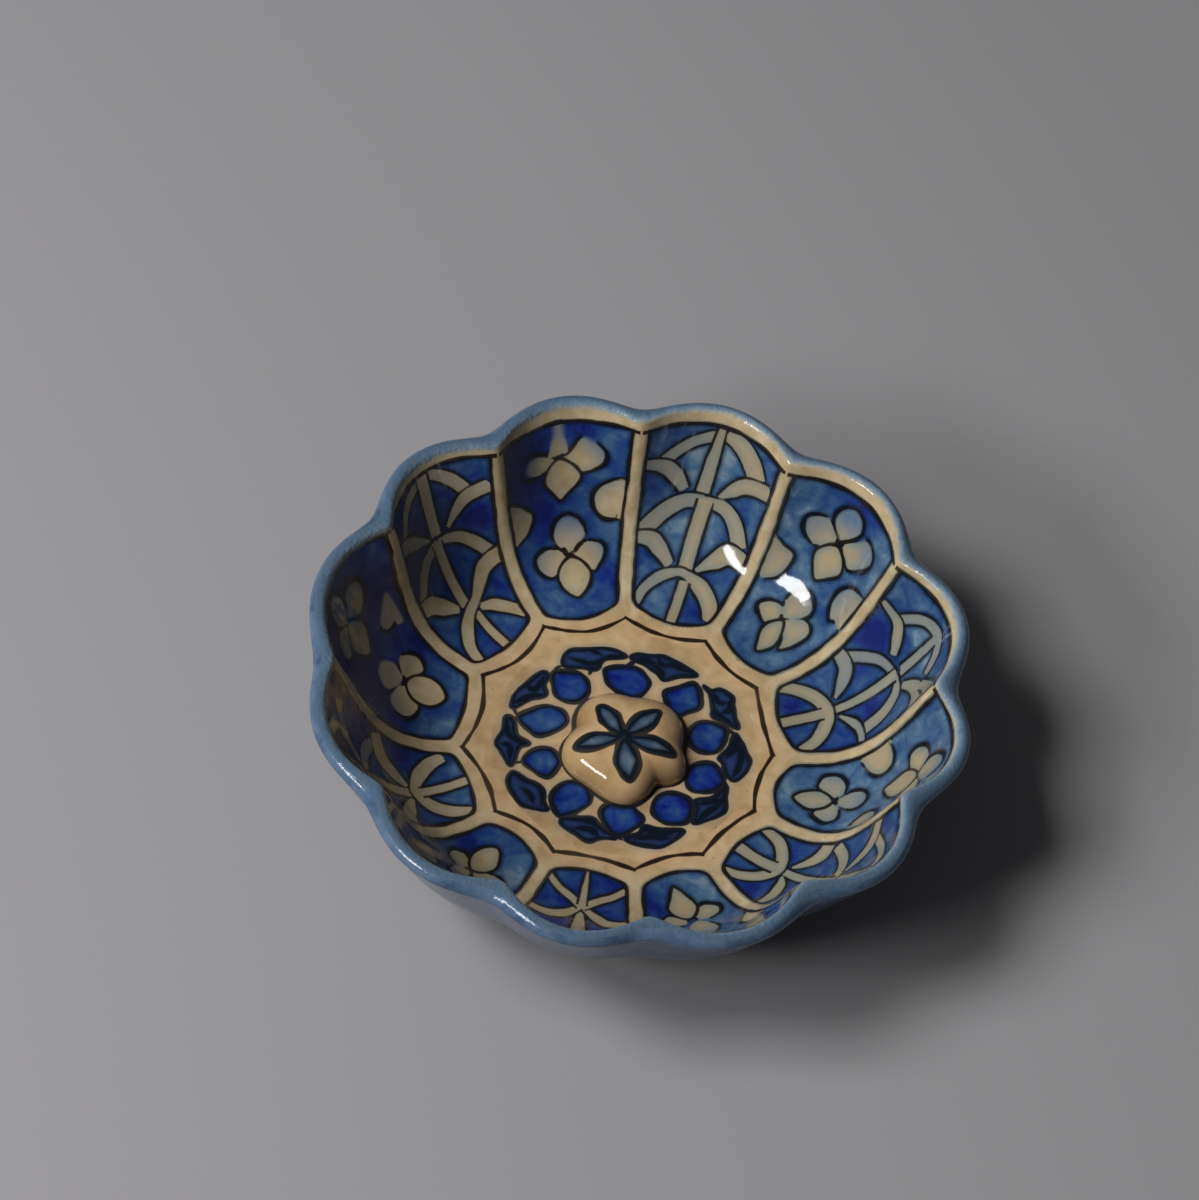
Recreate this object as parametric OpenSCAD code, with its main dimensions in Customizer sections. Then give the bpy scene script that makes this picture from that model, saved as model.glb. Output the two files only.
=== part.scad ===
// Lobed ceramic bowl: a moulded stonepaste body with a luted foot ring and centre boss,
// a cream glaze inside and a blue glaze outside that laps over the lip.
// The origin is the middle of the foot's resting plane, with +Z up.

/* [Bowl] */
// Width across two opposite lobes, over the glaze
rim_d = 149.6; // [130:0.1:190]
// Height from the table to the top of the lip
height = 43; // [36:1:56]
// Width of the flat floor
floor_d = 80; // [60:1:92]
// Thickness of the clay at the floor
floor_t = 4.5; // [3:0.1:6]
// Thickness of the lip at the middle of a lobe, over the glaze
lip_t = 3.6; // [2.4:0.1:4.4]
// How far the floor runs on into the turn before the wall rises
floor_pull = 16; // [10:0.5:20]
// How far down from the lip the wall stays straight
wall_pull = 20; // [12:0.5:24]
// Slope of the wall at the lip along a rib, in degrees
rib_slope = 68; // [60:1:80]
// Slope of the wall at the lip along the middle of a lobe, in degrees
lobe_slope = 62; // [55:1:75]
// How far right of the foot's middle the lip was drawn
lip_x = 1; // [-2:0.1:2]
// How far behind the foot's middle the lip was drawn
lip_y = 1.1; // [-2:0.1:2]

/* [Lobes] */
// Number of lobes round the wall
lobe_count = 12; // [8:1:16]
// Direction of the first rib, in degrees
first_rib = 96; // [0:1:180]
// How far the outer face is drawn in between lobes
notch_depth = 4.2; // [2:0.1:6]
// How far the inner rib stands in from the lobes
rib_depth = 6.2; // [4:0.1:8]
// How much sooner the outer wall turns up along a notch than along a lobe
notch_pull = 3; // [0:0.5:4]
// Softness of the notches outside, from a sharp cusp at 0
notch_softness = 0.3; // [0.05:0.05:0.5]
// Softness of the ribs inside, from a sharp cusp at 0
rib_softness = 0.1; // [0.05:0.05:0.5]

/* [Foot] */
// How far the foot ring stands in from the edge of the flat underside
foot_inset = 5; // [2:0.5:8]
// Height of the foot ring
foot_h = 5.5; // [3.5:0.1:7.5]
// Width of the foot ring where it meets the body
foot_w = 7; // [5:0.1:9]
// Draw of the foot ring's two sides, in degrees
foot_draft = 8; // [0:1:15]
// Worn chamfer along the foot's two edges
foot_chamfer = 0.7; // [0.2:0.1:1.2]

/* [Boss] */
// Width of the raised boss across its lobes, over the glaze
boss_d = 29.6; // [20:0.1:40]
// Height of the boss above the clay floor, over the glaze
boss_h = 7.4; // [4:0.1:12]
// Number of lobes round the boss
boss_lobes = 5; // [3:1:8]
// How far the boss is drawn in between its lobes
boss_notch = 2.8; // [0.5:0.1:4]
// Softness of the notches between the boss's lobes
boss_softness = 0.25; // [0.05:0.05:0.6]
// Direction of the first boss lobe, in degrees
boss_turn = 53; // [0:1:72]
// How far right of the bowl's middle the boss was set
boss_x = 0.4; // [-3:0.1:3]
// How far behind the bowl's middle the boss was set
boss_y = -1.8; // [-3:0.1:3]

/* [Glaze] */
// Thickness of the glaze
glaze_t = 0.4; // [0.2:0.1:0.8]
// Hairline left where one glaze stops against another piece
glaze_gap = 0.1; // [0.05:0.05:0.3]

/* [Hidden] */

// Degrees by which each hand-set rib strays from even spacing
rib_drift = [0, 0.5, 0, 3.5, 3, 3.3, 1.6, 2.4, 0.8, -2.2, -2.2, -1];
// Share of the full depth to which each rib was pressed
rib_strength = [1, 1, 1, 0.6, 0.75, 0.9, 0.9, 1, 1, 1, 1, 1];
// The same for the notches between the boss's lobes
boss_drift = [0, 7, 5, 7, -12];
boss_strength = [0.8, 1, 0.45, 1, 0.7];
full_turn = 360;
half_turn = full_turn / 2;
quarter_turn = full_turn / 4;
clay_colour = "#cdb68e";
cream_colour = "#c9ab7c";
blue_colour = "#6c8cb2";
boss_colour = "#c4a473";
// Facets across a lobe, along a turn, round half the lip, round a boss lobe and up the boss
lobe_steps = 8;
turn_steps = 6;
lip_steps = 3;
boss_steps = 8;
boss_rings = 6;
// Facets of the round foot
foot_facets = 96;
// How far up the boss its rings go before the flat cap at the crown, in degrees of a quarter turn
boss_crown = 80;
// How full the boss's shoulder is: 1 is an ellipse, less is squarer
boss_fullness = 0.6;
// Share of the lobing that is left at the boss's crown
boss_fade = 0.5;
floor_r = floor_d / 2;
floor_z = foot_h + floor_t;
foot_r = floor_r - foot_inset;
lip_b = lip_t / 2 - glaze_t;

// Lobe curve: 0 at a rib and 1 at the middle of a lobe, for u from -1 to 1
function soften(x, s) = 1 - (sqrt((1 - x) * (1 - x) + s * s) - s) / (sqrt(1 + s * s) - s);
function lobe(u, s) = 1 - pow(soften(abs(u), s), 2);
function mix(a, b, t) = a + (b - a) * t;

// Directions and strengths of the ribs
function by_hand(list, i, count) = list[((i + count) % count) % len(list)];
function rib_angle(i) = first_rib + full_turn * i / lobe_count + by_hand(rib_drift, i, lobe_count);
function rib_press(i) = by_hand(rib_strength, i, lobe_count);
// Columns of points between the ribs, each as [angle, u, strength]
columns = [
    for (i = [0 : lobe_count - 1])
        for (k = [0 : lobe_steps - 1])
            let (u = sin(quarter_turn * (2 * k / lobe_steps - 1)), t = (u + 1) / 2)
                [mix(rib_angle(i), rib_angle(i + 1), t), u, mix(rib_press(i), rib_press(i + 1), t)]
];

// Cubic curve through p[0] and p[3], and its direction
function curve(p, t) =
    p[0] * pow(1 - t, 3) + p[1] * 3 * t * pow(1 - t, 2) + p[2] * 3 * t * t * (1 - t) + p[3] * pow(t, 3);
function slope(p, t) =
    (p[1] - p[0]) * pow(1 - t, 2) + (p[2] - p[1]) * 2 * t * (1 - t) + (p[3] - p[2]) * t * t;
function unit(v) = v / norm(v);
function left_of(v) = [-v.y, v.x];

// Section of the wall: w is 0 along a rib and 1 along the middle of a lobe
function lip_a(w) = lip_b + (1 - w) * (rib_depth - notch_depth) / 2;
function lip_dir(w) = let (a = mix(rib_slope, lobe_slope, w)) [cos(a), sin(a)];
// Reach of the leaning, rounded lip from its centre, along x or along y
function lip_reach(w, across, along) = norm([(lip_a(w) + glaze_t) * across, (lip_b + glaze_t) * along]);
function lip_centre(w) =
    let (d = lip_dir(w))
        [rim_d / 2 - (1 - w) * notch_depth - lip_reach(w, d.y, d.x), height - lip_reach(w, d.x, d.y)];
function lip_point(w, a, e) =
    lip_centre(w) - left_of(lip_dir(w)) * (lip_a(w) + e) * cos(a) + lip_dir(w) * (lip_b + e) * sin(a);
function wall_curve(w, z, run, end) = [[floor_r, z], [floor_r + run, z], end - lip_dir(w) * wall_pull, end];
function inside_curve(w) = wall_curve(w, floor_z, floor_pull, lip_point(w, half_turn, 0));
function outside_pull(w) = floor_pull + floor_t - (1 - w) * notch_pull;
function outside_curve(w) = wall_curve(w, foot_h, outside_pull(w), lip_point(w, 0, 0));
function raised(p, t, e) = curve(p, t) + left_of(unit(slope(p, t))) * e;

// Stations along the section, each as [rib point, lobe point, softness], raised by e
function inside_station(t, e) =
    [raised(inside_curve(0), t, e), raised(inside_curve(1), t, e), rib_softness];
function outside_station(t, e) =
    [raised(outside_curve(0), t, -e), raised(outside_curve(1), t, -e), notch_softness];
function lip_station(a, e) =
    [lip_point(0, a, e), lip_point(1, a, e), mix(notch_softness, rib_softness, a / half_turn)];
function outside_stations(e) = [for (k = [0 : turn_steps - 1]) outside_station(k / turn_steps, e)];
function outer_lip(e) = [for (k = [0 : lip_steps]) lip_station(quarter_turn * k / lip_steps, e)];
function inner_lip(e) = [for (k = [0 : lip_steps]) lip_station(quarter_turn * (1 + k / lip_steps), e)];
function inside_stations(e) = [for (k = [turn_steps - 1 : -1 : 0]) inside_station(k / turn_steps, e)];

// Rings of points in space: the wall leans towards where the lip was drawn
function at(angle, p) = [p.x * cos(angle), p.x * sin(angle), p.y];
function leaning(p) = p + [lip_x, lip_y, 0] * max(0, p.z - floor_z) / (height - floor_z);
function pressed(column, softness) = 1 - column[2] * (1 - lobe(column[1], softness));
function lobed_rings(stations) =
    [for (s = stations) [for (c = columns) leaning(at(c[0], mix(s[0], s[1], pressed(c, s[2]))))]];
function foot_edge(z) = [for (c = columns) at(c[0], [foot_r + glaze_gap, z])];

// Notches round the boss, counted in lobes from the middle of the first: their angles and their strengths
boss_counts = [for (k = [-1 : boss_lobes]) k + 1 / 2];
function boss_angle(x) =
    boss_turn + full_turn * x / boss_lobes + by_hand(boss_drift, floor(x), boss_lobes);
boss_places = [for (x = boss_counts) [boss_angle(x), x]];
boss_presses = [for (x = boss_counts) [x, by_hand(boss_strength, floor(x), boss_lobes)]];
function boss_count(angle) =
    lookup(boss_turn + ((angle - boss_turn) % full_turn + full_turn) % full_turn, boss_places);

// Outline of the boss: the lobe curve repeated round it, fading towards the crown
function boss_dip(x) = lookup(x, boss_presses) * (1 - lobe(2 * (x - round(x)), boss_softness));
function boss_r(angle, rise, e) =
    let (dip = boss_notch * mix(1, boss_fade, rise) * boss_dip(boss_count(angle)))
        (boss_d / 2 - glaze_t - dip) * pow(cos(rise * boss_crown), boss_fullness) + e;
function boss_z(rise, e) = floor_z + (boss_h - glaze_t) * sin(rise * boss_crown) + (rise > 0 ? e : 0);
boss_points = boss_lobes * boss_steps;
boss_angles = [for (k = [0 : boss_points - 1]) lookup(k / boss_steps, [for (p = boss_places) [p[1], p[0]]])];
function on_boss(angle, p) = [boss_x, boss_y, 0] + at(angle, p);
function boss_ring(rise, e) = [for (a = boss_angles) on_boss(a, [boss_r(a, rise, e), boss_z(rise, e)])];
function boss_dome(e) = [for (k = [0 : boss_rings]) boss_ring(k / boss_rings, e)];
function boss_edge(z) = [for (c = columns) on_boss(c[0], [boss_r(c[0], 0, glaze_t + glaze_gap), z])];
function reversed(v) = [for (k = [len(v) - 1 : -1 : 0]) v[k]];

// Two triangles over a square of points, split along the shorter diagonal so that touching pieces match
function split(p, a, b, c, d) =
    norm(p[a] - p[c]) < norm(p[b] - p[d]) ? [[a, b, c], [a, c, d]] : [[a, b, d], [b, c, d]];

// Solid through a list of rings: its ends are capped, or it closes on itself
module loft(rings, capped) {
    n = len(rings[0]);
    m = len(rings);
    points = [for (r = rings) each r];
    sides = [
        for (j = [0 : m - (capped ? 2 : 1)])
            for (i = [0 : n - 1])
                let (a = j * n, b = ((j + 1) % m) * n, k = (i + 1) % n)
                    each split(points, a + i, b + i, b + k, a + k)
    ];
    ends = capped ? [[for (i = [0 : n - 1]) i], [for (i = [n - 1 : -1 : 0]) (m - 1) * n + i]] : [];
    polyhedron(points = points, faces = concat(sides, ends), convexity = 6);
}

// Moulded body: floor, lobed wall and lip, with the ribs standing inside
module bowl_body() {
    lip = concat(outer_lip(0), [for (k = [1 : lip_steps]) inner_lip(0)[k]]);
    color(clay_colour) loft(lobed_rings(concat(outside_stations(0), lip, inside_stations(0))), true);
}

// Turned foot ring under the floor, with a flat tread
module foot_ring() {
    draw = foot_h * tan(foot_draft);
    inner_r = foot_r - foot_w;
    color(clay_colour) rotate_extrude($fn = foot_facets) polygon([
        [inner_r, foot_h],
        [inner_r + draw, foot_chamfer],
        [inner_r + draw + foot_chamfer, 0],
        [foot_r - draw - foot_chamfer, 0],
        [foot_r - draw, foot_chamfer],
        [foot_r, foot_h]
    ]);
}

// Five-lobed boss luted to the middle of the floor
module centre_boss() {
    color(boss_colour) loft(boss_dome(0), true);
}

// Cream glaze over the floor and the inner wall, up to the crown of the lip
module inner_glaze() {
    over = lobed_rings(concat(inner_lip(glaze_t), inside_stations(glaze_t)));
    under = lobed_rings(concat(reversed(inside_stations(0)), reversed(inner_lip(0))));
    color(cream_colour) loft(concat(over, [boss_edge(floor_z + glaze_t), boss_edge(floor_z)], under), false);
}

// Glaze over the boss
module boss_glaze() {
    color(boss_colour) loft(concat(reversed(boss_dome(0)), boss_dome(glaze_t)), true);
}

// Blue glaze over the outer wall, from the foot ring up and over the lip
module outer_glaze() {
    over = lobed_rings(concat(outside_stations(glaze_t), outer_lip(glaze_t)));
    under = lobed_rings(concat(reversed(outer_lip(0)), reversed(outside_stations(0))));
    color(blue_colour) loft(concat([foot_edge(foot_h - glaze_t)], over, under, [foot_edge(foot_h)]), false);
}

bowl_body();
foot_ring();
centre_boss();
inner_glaze();
boss_glaze();
outer_glaze();
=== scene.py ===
import math
from functools import partial

import bmesh
import bpy
import numpy as np
from mathutils import Matrix, Vector


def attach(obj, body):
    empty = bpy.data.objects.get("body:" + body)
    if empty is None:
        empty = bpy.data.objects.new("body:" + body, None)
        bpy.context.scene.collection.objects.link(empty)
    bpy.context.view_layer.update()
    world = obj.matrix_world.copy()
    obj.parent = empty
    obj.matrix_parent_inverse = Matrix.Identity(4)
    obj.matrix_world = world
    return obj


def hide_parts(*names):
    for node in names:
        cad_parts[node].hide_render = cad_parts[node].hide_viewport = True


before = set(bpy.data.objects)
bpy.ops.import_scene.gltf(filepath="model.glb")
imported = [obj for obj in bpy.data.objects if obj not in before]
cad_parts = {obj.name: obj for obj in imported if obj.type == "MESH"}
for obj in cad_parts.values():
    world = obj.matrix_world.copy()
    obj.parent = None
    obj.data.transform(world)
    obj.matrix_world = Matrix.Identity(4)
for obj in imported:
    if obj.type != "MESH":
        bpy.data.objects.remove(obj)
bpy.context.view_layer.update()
scene = bpy.context.scene
scene.view_settings.view_transform = "Standard"
mm = 0.001

# The moulded form in mm, with the same values as the solids
form = {
    "rimWidth": 149.6,
    "height": 43.0,
    "floorWidth": 80.0,
    "floorThickness": 4.5,
    "lipThickness": 3.6,
    "floorPull": 16.0,
    "wallPull": 20.0,
    "ribSlope": 68.0,
    "lobeSlope": 62.0,
    "lipX": 1.0,
    "lipY": 1.1,
    "firstRib": 96.0,
    "ribDrift": (0, 0.5, 0, 3.5, 3, 3.3, 1.6, 2.4, 0.8, -2.2, -2.2, -1),
    "ribStrength": (1, 1, 1, 0.6, 0.75, 0.9, 0.9, 1, 1, 1, 1, 1),
    "notchDepth": 4.2,
    "notchPull": 3.0,
    "ribDepth": 6.2,
    "notchSoftness": 0.3,
    "ribSoftness": 0.1,
    "footHeight": 5.5,
    "footInset": 5.0,
    "footWidth": 7.0,
    "footDraft": 8.0,
    "glaze": 0.4,
    "hairline": 0.1,
}
bossForm = {
    "width": 29.6,
    "height": 7.4,
    "lobes": 5,
    "notch": 2.8,
    "softness": 0.25,
    "turn": 53.0,
    "notchDrift": (0, 7, 5, 7, -12),
    "notchStrength": (0.8, 1, 0.45, 1, 0.7),
    "x": 0.4,
    "y": -1.8,
    "crown": 80.0,
    "fullness": 0.6,
    "fade": 0.5,
}
sectionSteps = {"floor": 40, "wall": 120, "lip": 14}
glaze = form["glaze"]
lobeCount = len(form["ribDrift"])
floorRadius = form["floorWidth"] / 2
floorTop = form["footHeight"] + form["floorThickness"]
lipHalfHeight = form["lipThickness"] / 2 - glaze
ribAngles = np.array([form["firstRib"] + 360 * i / lobeCount + d for i, d in enumerate(form["ribDrift"])])
ribAngles = np.append(ribAngles, ribAngles[0] + 360)
ribStrengths = np.append(form["ribStrength"], form["ribStrength"][0])
bossOrder = np.arange(-1, bossForm["lobes"] + 1)
bossCounts = bossOrder + 0.5  # notches, counted in lobes from the middle of the first
bossDrift, bossPresses = (np.take(bossForm[key], bossOrder, mode="wrap") for key in ("notchDrift", "notchStrength"))
bossAngles = bossForm["turn"] + 360 * bossCounts / bossForm["lobes"] + bossDrift


def swell(u, softness):  # 0 on a rib, 1 in the middle of a lobe
    rest = np.sqrt((1 - np.abs(u)) ** 2 + softness ** 2) - softness
    return 1 - (1 - rest / (np.sqrt(1 + softness ** 2) - softness)) ** 2


def leftOf(v):
    return np.stack([-v[..., 1], v[..., 0]], -1)


def lipPoint(w, turn, raised):  # turn is 0 outside, 90 on the crown and 180 inside
    slope = math.radians(form["ribSlope"] + (form["lobeSlope"] - form["ribSlope"]) * w)
    along = np.array([math.cos(slope), math.sin(slope)])
    halfWidth = lipHalfHeight + (1 - w) * (form["ribDepth"] - form["notchDepth"]) / 2
    a, b = halfWidth + glaze, lipHalfHeight + glaze
    reach = form["rimWidth"] / 2 - (1 - w) * form["notchDepth"] - math.hypot(a * along[1], b * along[0])
    middle = np.array([reach, form["height"] - math.hypot(a * along[0], b * along[1])])
    t = np.radians(np.asarray(turn, float))[..., None]
    across = -leftOf(along) * (halfWidth + raised) * np.cos(t)
    return middle + across + along * (lipHalfHeight + raised) * np.sin(t), along


def wallPoints(w, inside, t, raised):
    end, along = lipPoint(w, 180 if inside else 0, 0)
    z = floorTop if inside else form["footHeight"]
    run = form["floorPull"] + (0 if inside else form["floorThickness"] - (1 - w) * form["notchPull"])
    p = [np.array([floorRadius, z]), np.array([floorRadius + run, z]), end - along * form["wallPull"], end]
    t = t[:, None]
    point = p[0] * (1 - t) ** 3 + p[1] * 3 * t * (1 - t) ** 2 + p[2] * 3 * t * t * (1 - t) + p[3] * t ** 3
    slope = (p[1] - p[0]) * (1 - t) ** 2 + (p[2] - p[1]) * 2 * t * (1 - t) + (p[3] - p[2]) * t * t
    slope /= np.linalg.norm(slope, axis=1, keepdims=True)
    return point + leftOf(slope) * (raised if inside else -raised)


def sectionTable(inside, raised):  # from the axis out over the floor, up the wall and round half the lip
    z = floorTop + raised if inside else form["footHeight"] - raised
    out = np.linspace(0, floorRadius, sectionSteps["floor"], endpoint=False)
    flat = np.stack([out, np.full(len(out), z)], -1)
    t = np.linspace(0, 1, sectionSteps["wall"] + 1)
    turns = np.linspace(180 if inside else 0, 90, sectionSteps["lip"] + 1)[1:]
    lines = [np.concatenate([flat, wallPoints(w, inside, t, raised), lipPoint(w, turns, raised)[0]]) for w in (0, 1)]
    wallSoftness = form["ribSoftness"] if inside else form["notchSoftness"]
    lipSoftness = form["notchSoftness"] + (form["ribSoftness"] - form["notchSoftness"]) * turns / 180
    soft = np.concatenate([np.full(len(flat) + len(t), wallSoftness), lipSoftness])
    return lines[0], lines[1], soft


def runAlong(inside):
    middle = sum(sectionTable(inside, glaze)[:2]) / 2
    steps = np.linalg.norm(np.diff(middle, axis=0), axis=1)
    return np.concatenate([[0], np.cumsum(steps)]), middle


insideRun, meanInside = runAlong(True)
outsideRun = runAlong(False)[0]


def placeOnForm(inside, raised, run, turn):  # turn counts lobes round from the first rib
    rib, crest, soft = sectionTable(inside, raised)
    arc = insideRun if inside else outsideRun
    lobe = np.clip(np.floor(turn + 1e-6).astype(int), 0, lobeCount - 1)
    u = 2 * (turn - lobe) - 1
    angle = ribAngles[lobe] + (ribAngles[lobe + 1] - ribAngles[lobe]) * (u + 1) / 2
    strength = ribStrengths[lobe] + (ribStrengths[lobe + 1] - ribStrengths[lobe]) * (u + 1) / 2
    w = 1 - strength * (1 - swell(u, np.interp(run, arc, soft)))
    r, z = (np.interp(run, arc, rib[:, k]) * (1 - w) + np.interp(run, arc, crest[:, k]) * w for k in (0, 1))
    a = np.radians(angle)
    lean = np.maximum(z - floorTop, 0) / (form["height"] - floorTop)
    return np.stack([r * np.cos(a) + form["lipX"] * lean, r * np.sin(a) + form["lipY"] * lean, z], -1), angle


def bossDip(angle):  # 0 on a lobe of the boss, up to 1 in a notch
    count = np.interp(bossForm["turn"] + (angle - bossForm["turn"]) % 360, bossAngles, bossCounts)
    press = np.interp(count, bossCounts, bossPresses)
    return press * (1 - swell(2 * (count - np.round(count)), bossForm["softness"]))


def bossPoint(angle, lift, raised):  # lift is 0 at the foot of the boss and 90 at its crown
    fade = 1 + (bossForm["fade"] - 1) * lift / bossForm["crown"]
    core = bossForm["width"] / 2 - glaze - bossForm["notch"] * fade * bossDip(angle)
    lean = np.maximum(np.cos(np.radians(lift)), 0)
    r = core * lean ** bossForm["fullness"] + raised * np.minimum(1, lean / math.cos(math.radians(bossForm["crown"])))
    z = floorTop + (bossForm["height"] - glaze) * np.sin(np.radians(lift)) + np.where(lift > 0, raised, 0)
    a = np.radians(angle)
    return np.stack([bossForm["x"] + r * np.cos(a), bossForm["y"] + r * np.sin(a), z], -1)


# A grid that is wrapped round the form as a closed coat: over its face, round its edge and back along its underside
def wrappedGrid(overRuns, underRuns, columns):
    bm = bmesh.new()
    loop = np.concatenate([overRuns, underRuns[::-1]])
    bmesh.ops.create_grid(bm, x_segments=columns, y_segments=len(loop), size=1)
    mesh = bpy.data.meshes.new("coat")
    bm.to_mesh(mesh)
    bm.free()
    at = np.empty(len(mesh.vertices) * 3, np.float32)
    mesh.vertices.foreach_get("co", at)
    at = (at.reshape(-1, 3) + 1) / 2
    row = np.round(at[:, 1] * len(loop)).astype(int) % len(loop)
    column = np.round(at[:, 0] * columns) % columns
    return mesh, loop[row], column / columns, row < len(overRuns)


def coatGrid(piece, start, end):
    overRuns, underRuns = (np.linspace(start, end, piece[key]) for key in ("rows", "underRows"))
    return wrappedGrid(overRuns, underRuns, piece["columns"])


meshing = {"mergeWithin": 0.002, "sharpAngle": 40.0}  # mm and degrees


def finishPiece(mesh, name, points, coat, node, material):
    mesh.vertices.foreach_set("co", (points * mm).astype(np.float32).ravel())
    for key, values in coat.items():
        mesh.attributes.new(key, "FLOAT", "POINT").data.foreach_set("value", values.astype(np.float32))
    bm = bmesh.new()
    bm.from_mesh(mesh)
    bmesh.ops.remove_doubles(bm, verts=bm.verts, dist=meshing["mergeWithin"] * mm)
    bmesh.ops.recalc_face_normals(bm, faces=bm.faces)
    bm.to_mesh(mesh)
    bm.free()
    mesh.shade_smooth()
    mesh.set_sharp_from_angle(angle=math.radians(meshing["sharpAngle"]))
    mesh.materials.append(material)
    piece = bpy.data.objects.new(name, mesh)
    scene.collection.objects.link(piece)
    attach(piece, "root")
    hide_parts(node)
    print("piece", name, len(mesh.vertices), "points")


def toLinear(colour):
    parts = [int(colour[i:i + 2], 16) / 255 for i in (1, 3, 5)]
    return [c / 12.92 if c <= 0.04045 else ((c + 0.055) / 1.055) ** 2.4 for c in parts] + [1.0]


def addNode(tree, kind, *values, named=None, out=None, stops=(), **settings):
    # values fill the node's sockets in order and named ones by name; a second word in kind is its way of working
    kind, *way = kind.split()
    node = tree.nodes.new("ShaderNode" + kind)
    if way:
        settings[{"Math": "operation", "MapRange": "interpolation_type", "Mix": "data_type"}[kind]] = way[0]
    for key, value in settings.items():
        setattr(node, key, value)
    given = list(zip((socket for socket in node.inputs if socket.enabled), values))
    given += [(node.inputs[key], value) for key, value in (named or {}).items()]
    for socket, value in given:
        if isinstance(value, bpy.types.NodeSocket):
            tree.links.new(value, socket)
        else:
            socket.default_value = toLinear(value) if isinstance(value, str) else value
    for i, (place, colour) in enumerate(stops):
        bits = node.color_ramp.elements
        stop = bits[i] if i < 2 else bits.new(place)
        stop.position = place
        stop.color = toLinear(colour)
    return node.outputs[out] if out else next((socket for socket in node.outputs if socket.enabled), node)


def newMaterial(name):
    material = bpy.data.materials.new(name)
    material.use_nodes = True
    material.node_tree.nodes.clear()
    return material, partial(addNode, material.node_tree)


def perMm(size):  # texture scale for a pattern of this many mm, on coordinates in metres
    return 1000 / size


# Painting under the glaze: listed strokes in mm become edge distances at the points of a piece
brush = {
    "halfWidth": 0.34,
    "margin": 4.0,  # how far round its points a stroke is looked for
    "taper": 6.0,  # how soon a line swells from its thinnest to its fullest
    "thinnest": 0.3,
    "fullest": 1.35,
    "bandLine": 0.8,
    "bandEnd": 0.6,
    "bandHold": 0.97,
    "edgeSpan": 1.5,  # mm about a stroke's edge that its own line rules
    "fadeSpan": 2.0,  # mm of wash round a petal that take up its tint
}
coatMarks = ("ink", "blue", "hold", "tone", "dull", "tint", "rise")
farOff = -9.0  # ink or blue where there is none
floorMark = -8.0  # rise on the floor and boss


def brushPath(points, closed=False, steps=6):
    p = np.array(points, float)
    p = np.vstack([p[-1:], p, p[:2]]) if closed else np.vstack([2 * p[0] - p[1], p, 2 * p[-1] - p[-2]])
    t = np.linspace(0, 1, steps, endpoint=False)[:, None]
    bends = [0.5 * (2 * b + (c - a) * t + (2 * a - 5 * b + 4 * c - d) * t ** 2 + (3 * b - a - 3 * c + d) * t ** 3)
             for a, b, c, d in zip(p[:-3], p[1:-2], p[2:-1], p[3:])]
    return np.vstack(bends + [p[-2:-1]])


def nearPath(path, x, y):  # distance to a path, and how far along it the nearest point is, from 0 to 1
    a, e = path[:-1], np.diff(path, axis=0)
    long = np.maximum((e ** 2).sum(1), 1e-9)
    t = ((x[:, None] - a[:, 0]) * e[:, 0] + (y[:, None] - a[:, 1]) * e[:, 1]) / long
    t = np.clip(t, 0, 1)
    gap = np.hypot(x[:, None] - a[:, 0] - t * e[:, 0], y[:, None] - a[:, 1] - t * e[:, 1])
    k = gap.argmin(1)
    rows = np.arange(len(x))
    return gap[rows, k], (k + t[rows, k]) / len(a)


def enclosed(path, x, y):
    a, b = path[:-1], path[1:]
    crosses = (a[:, 1] > y[:, None]) != (b[:, 1] > y[:, None])
    rise = np.where(b[:, 1] == a[:, 1], 1e-9, b[:, 1] - a[:, 1])
    left = x[:, None] < a[:, 0] + (y[:, None] - a[:, 1]) * (b[:, 0] - a[:, 0]) / rise
    return (crosses & left).sum(1) % 2 == 1


def penWidth(x, y, seed):  # the brush presses unevenly
    press = 1 + 0.2 * np.sin(0.55 * x + 0.31 * y + seed) + 0.12 * np.sin(1.3 * y - 0.9 * x + 2 * seed)
    return brush["halfWidth"] * press


def heldBy(gap):  # 1 close beside a line and 0 from 1.25 mm off it
    return np.clip(2 - 1.6 * gap, 0, 1)


def newCoat(count):
    # ink: mm inside a line; blue: mm inside the wash; hold: 1 where the wash's edge is lined; tone: the wash's depth,
    # with painted shade high on the upper left lobes; dull: how slaty the wash is and how smoky the wall's cream,
    # with painted shade where the upper left lobes lie in shadow; tint: how far the cream has greyed on the wall, or
    # browned on the floor and boss; rise: mm up the wall
    return {key: np.full(count, farOff if key in ("ink", "blue") else 0.0) for key in coatMarks}


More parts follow.
